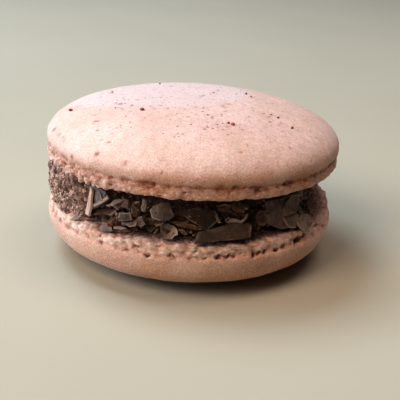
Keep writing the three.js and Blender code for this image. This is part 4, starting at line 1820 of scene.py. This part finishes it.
@dataclass
class CrumbScatter:
    """Small lumps strewn over a surface by a geometry tree, then made a plain mesh.

    Attributes:
        name: The name of the piece.
        ground: The object that the crumbs lie on.
        mark: The ground's mark that says how densely they lie.
        density: The most crumbs on a square millimetre.
        smallest: The least radius.
        largest: The greatest radius.
        flatness: How flat a crumb is, from 0 for round to 1 for a sheet.
        detail: The number of rounds of splitting that a crumb's ball has.
        seed: Picks the draw.
        finish: The crumbs' finish.
    """

    name: str
    ground: bpy.types.Object
    mark: str
    density: float
    smallest: float
    largest: float
    finish: CrumbFinish
    flatness: float = 0.2
    detail: int = 1
    seed: int = 5

    def _tree(self, material: bpy.types.Material) -> bpy.types.NodeTree:
        """Builds the tree that strews the crumbs.

        Args:
            material: What the crumbs are made of.

        Returns:
            The tree, with inputs for the density and the sizes.
        """
        tree = bpy.data.node_groups.new(self.name, "GeometryNodeTree")
        face = tree.interface
        face.new_socket(name="Ground", in_out="INPUT", socket_type="NodeSocketGeometry")
        for size in ("Density", "Smallest", "Largest"):
            face.new_socket(name=size, in_out="INPUT", socket_type="NodeSocketFloat")
        face.new_socket(name="Crumbs", in_out="OUTPUT", socket_type="NodeSocketGeometry")
        board = NodeBoard(tree)
        given = board.add("NodeGroupInput").outputs
        mark = board.add("GeometryNodeInputNamedAttribute", {"Name": self.mark}, data_type="FLOAT")
        share = board.sum("MULTIPLY", mark.outputs["Attribute"], given["Density"])
        spread = board.add(
            "GeometryNodeDistributePointsOnFaces",
            {"Mesh": given["Ground"], "Density": share, "Seed": self.seed},
        )
        ball = board.add("GeometryNodeMeshIcoSphere", {"Radius": 1.0, "Subdivisions": self.detail})
        width = board.add(
            "FunctionNodeRandomValue",
            {"Min": given["Smallest"], "Max": given["Largest"], "Seed": self.seed + 1},
            data_type="FLOAT",
        ).outputs["Value"]
        squash = (0.7, 0.7, 1.0 - self.flatness - 0.2), (1.3, 1.3, 1.0 - self.flatness + 0.2)
        shape = self._random_vector(board, squash[0], squash[1], self.seed + 2)
        size = board.add("ShaderNodeVectorMath", {0: shape, "Scale": width}, operation="SCALE")
        twist = self._random_vector(board, (-0.6, -0.6, 0.0), (0.6, 0.6, TURN), self.seed + 3)
        turned = board.add(
            "FunctionNodeRotateRotation",
            {"Rotation": spread.outputs["Rotation"], "Rotate By": twist},
            rotation_space="LOCAL",
        )
        placed = board.add(
            "GeometryNodeInstanceOnPoints",
            {
                "Points": spread.outputs["Points"], "Instance": ball.outputs["Mesh"],
                "Rotation": turned.outputs["Rotation"], "Scale": size.outputs["Vector"],
            },
        )
        shade = board.add("FunctionNodeRandomValue", {"Seed": self.seed + 4}, data_type="FLOAT")
        shaded = board.add(
            "GeometryNodeStoreNamedAttribute",
            {
                "Geometry": placed.outputs["Instances"],
                "Name": "light", "Value": shade.outputs["Value"],
            },
            data_type="FLOAT", domain="INSTANCE",
        )
        plain = board.add("GeometryNodeRealizeInstances", {"Geometry": shaded.outputs["Geometry"]})
        rough = self._roughen(board, plain.outputs["Geometry"], given["Largest"])
        dressed = board.add("GeometryNodeSetMaterial", {"Geometry": rough, "Material": material})
        board.add("NodeGroupOutput", {"Crumbs": dressed.outputs["Geometry"]})
        return tree

    @staticmethod
    def _random_vector(
        board: NodeBoard, low: Sequence[float], high: Sequence[float], seed: int
    ) -> Any:
        """Draws a vector between two others for each crumb."""
        limits = {"Min": low, "Max": high, "Seed": seed}
        return board.add(
            "FunctionNodeRandomValue", limits, data_type="FLOAT_VECTOR"
        ).outputs["Value"]

    @staticmethod
    def _roughen(board: NodeBoard, crumbs: Any, largest: Any) -> Any:
        """Breaks the balls into uneven lumps.

        Args:
            board: The tree's board.
            crumbs: The socket with the plain crumbs.
            largest: The socket with the greatest radius.

        Returns:
            The socket with the uneven crumbs.
        """
        texture = board.add("ShaderNodeTexNoise", {"Scale": per_metre(0.35), "Detail": 1.0})
        inputs = {0: texture.outputs["Color"], 1: (0.5, 0.5, 0.5)}
        centred = board.add("ShaderNodeVectorMath", inputs, operation="SUBTRACT")
        inputs = {0: centred.outputs["Vector"], "Scale": board.sum("MULTIPLY", largest, 1.6)}
        push = board.add("ShaderNodeVectorMath", inputs, operation="SCALE")
        inputs = {"Geometry": crumbs, "Offset": push.outputs["Vector"]}
        return board.add("GeometryNodeSetPosition", inputs).outputs["Geometry"]

    def build(self) -> bpy.types.Object:
        """Runs the tree and keeps its result as a plain mesh.

        Returns:
            The crumbs as an object at the origin.
        """
        material = self.finish.material()
        tree = self._tree(material)
        maker = add_object(f"{self.name}_maker", self.ground.data)
        modifier = maker.modifiers.new("crumbs", "NODES")
        modifier.node_group = tree
        sizes = {"Smallest": self.smallest * MM, "Largest": self.largest * MM}
        values = {"Density": self.density / MM**2, **sizes}
        for item in tree.interface.items_tree:
            if item.in_out == "INPUT" and item.name in values:
                modifier[item.identifier] = values[item.name]
        graph = bpy.context.evaluated_depsgraph_get()
        mesh = bpy.data.meshes.new_from_object(maker.evaluated_get(graph), depsgraph=graph)
        mesh.name = self.name
        bpy.data.objects.remove(maker)
        return add_object(self.name, mesh)

    def dress(self, crumbs: bpy.types.Object) -> None:
        """Lets the crumbs ride with the filling."""
        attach(crumbs, BODY)


# ---- Studio ----


@dataclass(frozen=True)
class Lamp:
    """A soft square light.

    Attributes:
        name: Its name.
        azimuth: Where it hangs round the macaron, from the right by way of the back.
        elevation: How high it hangs above the table.
        size: The side of its square.
        power: Its power in watts.
        tint: Its red, green and blue.
    """

    name: str
    azimuth: float
    elevation: float
    size: float
    power: float
    tint: tuple[float, float, float]


LAMPS = (
    Lamp("window", 140.0, 60.0, 300.0, 2.85, (0.78, 0.92, 1.0)),
    Lamp("low_window", 181.0, 12.0, 300.0, 3.0, (0.78, 0.94, 1.05)),
    Lamp("front_glow", 226.0, 44.0, 300.0, 2.7, (1.0, 0.79, 0.6)),
    Lamp("right_glow", 346.0, 72.0, 300.0, 1.0, (1.0, 0.79, 0.64)),
    Lamp("back_glow", 30.0, 70.0, 300.0, 0.5, (1.0, 0.84, 0.72)),
    Lamp("sky", 92.0, 22.0, 400.0, 0.2, (0.8, 0.86, 1.0)),
)


@dataclass
class Studio:
    """A pale table, soft light from the back left, and the camera.

    Attributes:
        lamps: The lamps.
        light_distance: How far from the macaron they hang.
        light_aim: The height of the point that they face.
        contrast: The gamma of the view.
        room_tint: The colour of the room's own light.
        room_power: How strong that light is.
        camera_place: Where the camera stands.
        camera_pitch: How far it looks up, or less than 0 for down.
        camera_roll: How far it is turned about its line of sight.
        camera_focal_pixels: Its focal length, in widths of one pixel.
        camera_range: The nearest and the farthest that it sees, in metres.
        picture_width: The picture's width in pixels.
        sensor_width: The width of its sensor.
        floor_size: The side of the table top.
        floor_finish: The table's finish.
    """

    lamps: tuple[Lamp, ...] = LAMPS
    light_distance: float = 600.0
    light_aim: float = 12.0
    contrast: float = 0.8
    room_tint: Colour = (1.0, 0.86, 0.72, 1.0)
    room_power: float = 0.02
    camera_place: tuple[float, float, float] = (1.724, -129.776, 58.705)
    camera_pitch: float = -21.656
    camera_roll: float = 2.888
    camera_focal_pixels: float = 823.19
    camera_range: Pair = (0.005, 20.0)
    picture_width: float = 400.0
    sensor_width: float = 36.0
    floor_size: float = 4000.0
    floor_finish: FloorFinish = FloorFinish()

    def build_camera(self) -> None:
        """Makes the camera and has the scene use it."""
        data = bpy.data.cameras.new("camera")
        data.sensor_width = self.sensor_width
        data.lens = self.camera_focal_pixels / self.picture_width * self.sensor_width
        data.clip_start, data.clip_end = self.camera_range
        camera = add_object("camera", data)
        level = Matrix.Rotation(math.radians(90.0 + self.camera_pitch), 4, "X")
        roll = Matrix.Rotation(math.radians(self.camera_roll), 4, "Z")
        place = Matrix.Translation(Vector(self.camera_place) * MM)
        camera.matrix_world = place @ level @ roll
        bpy.context.scene.camera = camera

    def build_floor(self) -> None:
        """Makes the table top."""
        half = self.floor_size / 2
        corners = np.array([[-half, -half, 0], [half, -half, 0], [half, half, 0], [-half, half, 0]])
        floor = new_object("table", corners, [(0, 1, 2, 3)], {})
        floor.data.materials.append(self.floor_finish.material())

    def add_light(self, lamp: Lamp) -> None:
        """Hangs one soft square light that faces the macaron.

        Args:
            lamp: The light's place, size and colour.
        """
        data = bpy.data.lights.new(lamp.name, "AREA")
        data.size = lamp.size * MM
        data.energy = lamp.power
        data.color = lamp.tint
        azimuth, elevation = math.radians(lamp.azimuth), math.radians(lamp.elevation)
        ground, up = math.cos(elevation), math.sin(elevation)
        towards = Vector((ground * math.cos(azimuth), ground * math.sin(azimuth), up))
        hung = add_object(lamp.name, data)
        hung.location = (towards * self.light_distance + Vector((0.0, 0.0, self.light_aim))) * MM
        hung.rotation_euler = towards.to_track_quat("Z", "Y").to_euler()

    def build_light(self) -> None:
        """Hangs the lamps and sets the light of the room."""
        for lamp in self.lamps:
            self.add_light(lamp)
        world = bpy.data.worlds.new("room")
        world.use_nodes = True
        room = world.node_tree.nodes["Background"]
        room.inputs["Color"].default_value = self.room_tint
        room.inputs["Strength"].default_value = self.room_power
        bpy.context.scene.world = world
        bpy.context.scene.view_settings.view_transform = "Standard"
        bpy.context.scene.view_settings.gamma = self.contrast

    def build(self) -> None:
        """Sets the stage."""
        self.build_camera()
        self.build_floor()
        self.build_light()


# ---- The macaron ----

BOTTOM_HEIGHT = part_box("bottom_shell")[1].z / MM
LID_HEIGHT = BOTTOM_HEIGHT + 6.84
LID_SHIFT = (0.15, 0.02)
LID_TILT = (-0.63, 0.32)
CORE_OVERLAP = 0.1

TOP_FINISH = MeringueFinish(
    name="meringue_top", body=paint(217, 187, 180), pale=paint(232, 208, 208),
    toast_and_recess_shade=paint(142, 78, 48), stain=paint(132, 94, 84), fleck=paint(128, 58, 40),
    grain=paint(226, 184, 154), tan_and_shade=paint(183, 127, 86),
)

BOTTOM_FINISH = MeringueFinish(
    name="meringue_bottom", body=paint(211, 177, 169), pale=paint(244, 221, 216),
    toast_and_recess_shade=paint(134, 72, 46), stain=paint(114, 77, 66), fleck=paint(128, 58, 40),
    grain=paint(218, 168, 126), tan_and_shade=paint(199, 143, 97), dot_spacing=1.1,
)

TOP_PITS = [
    Pit(*sizes)
    for sizes in (
        (-156.0, 1.5, 0.45, -0.4, 0.2), (-150.0, 1.2, 0.5, -0.4, 0.3),
        (-143.9, 1.5, 0.5, -0.45, 0.3), (-135.6, 1.5, 0.55, -0.5, 0.3),
        (-130.4, 1.2, 0.6, -0.5, 0.0), (-125.6, 0.8, 0.6, -0.45, 0.05),
        (-120.0, 1.5, 0.5, -0.35, 0.3), (-117.0, 1.2, 0.45, 0.15, 0.7),
        (-111.5, 2.0, 0.5, 0.15, 0.7), (-106.3, 2.0, 0.6, 0.12, 0.7),
        (-102.7, 1.85, 0.6, 0.12, 0.8), (-97.5, 1.7, 0.6, 0.1, 0.6), (-86.6, 2.0, 0.55, 0.15, 0.8),
        (-79.4, 1.75, 0.7, 0.12, 0.7), (-74.0, 2.0, 0.5, 0.2, 0.75), (-65.2, 1.3, 0.6, 0.3, 0.85),
        (-62.1, 1.6, 0.45, 0.2, 0.6), (-54.5, 1.8, 0.45, 0.35, 0.85), (-51.2, 1.6, 0.35, 0.2, 0.7),
        (-43.8, 1.6, 0.6, 0.3, 0.3), (-37.6, 1.7, 0.45, 0.35, 0.85), (-99.8, 0.1, 0.4, 0.6, 0.3),
        (-91.2, 0.1, 0.5, 1.1, 0.2), (-85.4, 0.0, 0.4, 0.6, 0.2),
    )
]

BOTTOM_PITS = [
    Pit(*sizes)
    for sizes in (
        (-107.7, 1.2, 0.4, 0.5, 0.9), (-103.5, 1.85, 0.5, 0.9, 1.0), (-95.1, 1.5, 0.35, 0.35, 0.8),
        (-85.4, 1.66, 0.4, 0.35, 0.7), (-78.2, 1.64, 0.5, 0.5, 0.9), (-74.5, 1.55, 0.45, 0.5, 0.85),
        (-72.6, 1.65, 0.4, 0.45, 0.85), (-64.4, 1.7, 0.45, 0.5, 0.95),
        (-62.3, 1.65, 0.35, 0.45, 0.9), (-59.7, 1.7, 0.4, 0.45, 0.85), (-54.8, 1.6, 0.45, 0.5, 0.9),
        (-51.4, 1.46, 0.4, 0.5, 0.95), (-43.6, 1.35, 0.65, 1.1, 1.0), (-41.9, 1.5, 0.55, 1.0, 1.0),
        (-39.2, 0.95, 0.5, 0.9, 1.0), (-29.2, 0.6, 0.5, 0.7, 1.0), (-35.6, 0.7, 0.35, 0.5, 0.8),
        (-31.2, 0.4, 0.35, 0.4, 0.9), (-27.9, 0.85, 0.4, 0.5, 1.0), (-21.3, 1.1, 0.35, 0.4, 0.9),
    )
]

TOP_FLECKS = [
    Fleck(*sizes)
    for sizes in (
        (-163.1, 12.2, 0.6, 0.2, 0.75), (-155.9, 10.8, 0.4, 0.2, 0.7),
        (-150.1, 12.9, 0.36, 0.22, 0.6), (-144.7, 18.2, 0.26, 0.26, 0.8),
        (-136.0, 19.6, 0.2, 0.24, 0.9), (172.8, 15.8, 0.26, 0.22, 0.7),
        (161.1, 15.2, 0.5, 0.2, 0.8), (39.1, 10.9, 0.24, 0.4, 0.8), (28.2, 10.7, 0.2, 0.24, 0.8),
        (36.4, 1.35, 0.3, 0.55, 0.4), (-141.6, 10.3, 0.3, 0.12, 0.5), (-135.8, 8.7, 0.3, 0.14, 0.5),
        (-50.3, 7.5, 0.4, 0.24, 0.4), (-72.8, 9.3, 0.22, 0.26, 0.8), (-26.7, 5.0, 0.2, 0.3, 0.6),
        (-27.3, 13.2, 0.5, 0.2, 0.6), (-22.0, 13.0, 0.6, 0.16, 0.5), (-12.7, 5.54, 0.4, 0.5, 0.5),
        (-33.0, 5.1, 0.2, 0.3, 0.5), (-20.1, 1.1, 0.5, 0.5, 0.35), (-74.2, 10.0, 0.22, 0.3, 0.7),
        (-83.0, 14.35, 0.24, 0.34, 0.6), (-68.0, 13.6, 0.5, 0.4, 0.35),
        (151.1, 16.76, 0.4, 0.3, 0.7), (166.4, 16.29, 0.3, 0.2, 0.6),
        (-152.2, 17.19, 0.2, 0.26, 0.7), (-143.6, 17.89, 0.2, 0.26, 0.8),
        (-163.5, 12.54, 0.3, 0.2, 0.7), (-153.5, 11.0, 0.3, 0.2, 0.7),
        (-160.4, 22.92, 0.5, 0.5, 0.6), (-152.5, 22.89, 0.6, 0.4, 0.3),
        (-146.6, 22.98, 0.5, 0.4, 0.3), (-125.9, 22.93, 0.42, 0.42, 0.75),
        (-113.4, 23.12, 0.4, 0.4, 0.4), (-137.6, 23.82, 0.4, 0.4, 0.7),
        (-128.9, 21.0, 0.28, 0.3, 0.35), (-47.0, 20.9, 0.3, 0.3, 0.4),
        (-34.7, 15.77, 0.4, 0.2, 0.4), (-35.9, 14.34, 0.3, 0.26, 0.5),
    )
]

TOP_LUMPS = tuple(
    Lump(*sizes)
    for sizes in (
        (-65.2, 12.4, 0.18), (-63.4, 13.1, 0.3), (-30.8, 17.44, 0.22), (-24.2, 14.27, 0.18),
        (-22.0, 12.9, 0.12), (41.0, 11.2, 0.2), (29.5, 10.6, 0.16), (-139.0, 10.73, 0.3),
        (-170.4, 19.95, 0.3), (160.0, 15.0, 0.16), (-76.0, 8.6, 0.12), (-155.0, 13.6, 0.14),
        (118.0, 14.0, 0.2), (84.0, 19.0, 0.18), (63.0, 6.5, 0.14),
    )
)


def top_place() -> Matrix:
    """Where the top shell sits: on the filling, a little tilted."""
    tilt = Euler([math.radians(angle) for angle in (*LID_TILT, 0.0)]).to_matrix().to_4x4()
    return Matrix.Translation((*LID_SHIFT, LID_HEIGHT)) @ tilt


def bottom_place() -> Matrix:
    """Where the bottom shell lies: turned over, with its dome on the table."""
    return Matrix.Translation((0.0, 0.0, BOTTOM_HEIGHT)) @ Matrix.Rotation(math.pi, 4, "X")


def build_shells() -> None:
    """Builds and dresses both shells and the crumbs on the upper one."""
    top = MeringueShell(
        name="macaron_top", node="top_shell", finish=TOP_FINISH, place=top_place(), radius=24.0,
        foot_radius=23.5, dome_height=6.88, shoulder=3.01, fullness=2.37, flat_spot=0.01, seed=21,
        crack_level=1.95, waist=0.02, tuck_height=2.2, crack_base=0.34, crack_width=0.2,
        crack_wobble=0.34, froth=0.33, froth_size=1.1, calm=0.6, rim_tan_and_shade=1.0, bubble_highlight=0.4,
        painted_reflection_middle=(-7.5, 8.0), painted_reflection_size=(17.0, 13.2), pits=TOP_PITS, flecks=TOP_FLECKS,
        fleck_count=160, crag_angle=-150.0,
    )
    bottom = MeringueShell(
        name="macaron_bottom", node="bottom_shell", finish=BOTTOM_FINISH, place=bottom_place(),
        radius=23.55, foot_radius=23.1, dome_height=7.53, shoulder=3.3, fullness=3.0, flat_spot=0.1,
        seed=34, waist=-0.1, tuck_height=0.7, crack_level=1.72, crack_depth=0.24, crack_base=0.04,
        froth=0.41, froth_size=1.4, calm=0.3, shaded_side=35.0, stain=1.25, rim_tan_and_shade=0.4, crown_tan_and_shade=1.0,
        tan_and_shade_height=5.0, fleck_count=50,
        pits=[replace(pit, angle=-pit.angle) for pit in BOTTOM_PITS],
    )
    crumbs = DomeCrumbs(
        name="dome_crumbs",
        shell=top,
        lumps=TOP_LUMPS,
        finish=CrumbFinish("crumbs_on_top", paint(122, 64, 48), paint(184, 120, 94), 0.6),
    )
    for kit in (top, bottom, crumbs):
        piece = kit.build()
        kit.dress(piece)
        LOG.info("%s: %d faces", piece.name, len(piece.data.polygons))


def build_filling() -> None:
    """Builds and dresses the filling: its core, its flakes and its crumbs."""
    core_kit = FillingCore(low=BOTTOM_HEIGHT - CORE_OVERLAP, high=LID_HEIGHT + CORE_OVERLAP)
    core = core_kit.build()
    core_kit.dress(core)
    pile_kit = FlakePile(low=BOTTOM_HEIGHT, high=LID_HEIGHT)
    pile = pile_kit.build()
    pile_kit.dress(pile)
    scatters = (
        CrumbScatter(
            name="filling_crumbs", ground=core, mark="crumb",
            density=2.0, smallest=0.14, largest=0.42, detail=2,
            finish=CrumbFinish("crumbled_chocolate", paint(114, 83, 75), paint(220, 193, 189)),
        ),
        CrumbScatter(
            name="filling_grit", ground=core, mark="crumb",
            density=15.0, smallest=0.05, largest=0.2, seed=35,
            finish=CrumbFinish("chocolate_grit", paint(112, 74, 62), paint(236, 212, 206)),
        ),
        CrumbScatter(
            name="filling_chips", ground=core, mark="chips",
            density=3.2, smallest=0.16, largest=0.5, flatness=0.6, seed=15,
            finish=CrumbFinish("small_chips", paint(80, 42, 30), paint(146, 98, 78), 0.55),
        ),
        CrumbScatter(
            name="filling_dust", ground=pile, mark="dust",
            density=0.8, smallest=0.06, largest=0.24, flatness=0.3, seed=25,
            finish=CrumbFinish("chocolate_dust", paint(84, 56, 42), paint(126, 98, 84), 0.65),
        ),
    )
    crumbs = []
    for kit in scatters:
        strewn = kit.build()
        kit.dress(strewn)
        crumbs.append(strewn)
    for piece in (core, pile, *crumbs):
        LOG.info("%s: %d faces", piece.name, len(piece.data.polygons))


def main() -> None:
    """Builds the macaron and its stage, and reports each piece."""
    logging.basicConfig(level=logging.INFO, format="%(message)s")
    build_shells()
    build_filling()
    Studio().build()


if __name__ == "__main__":
    main()
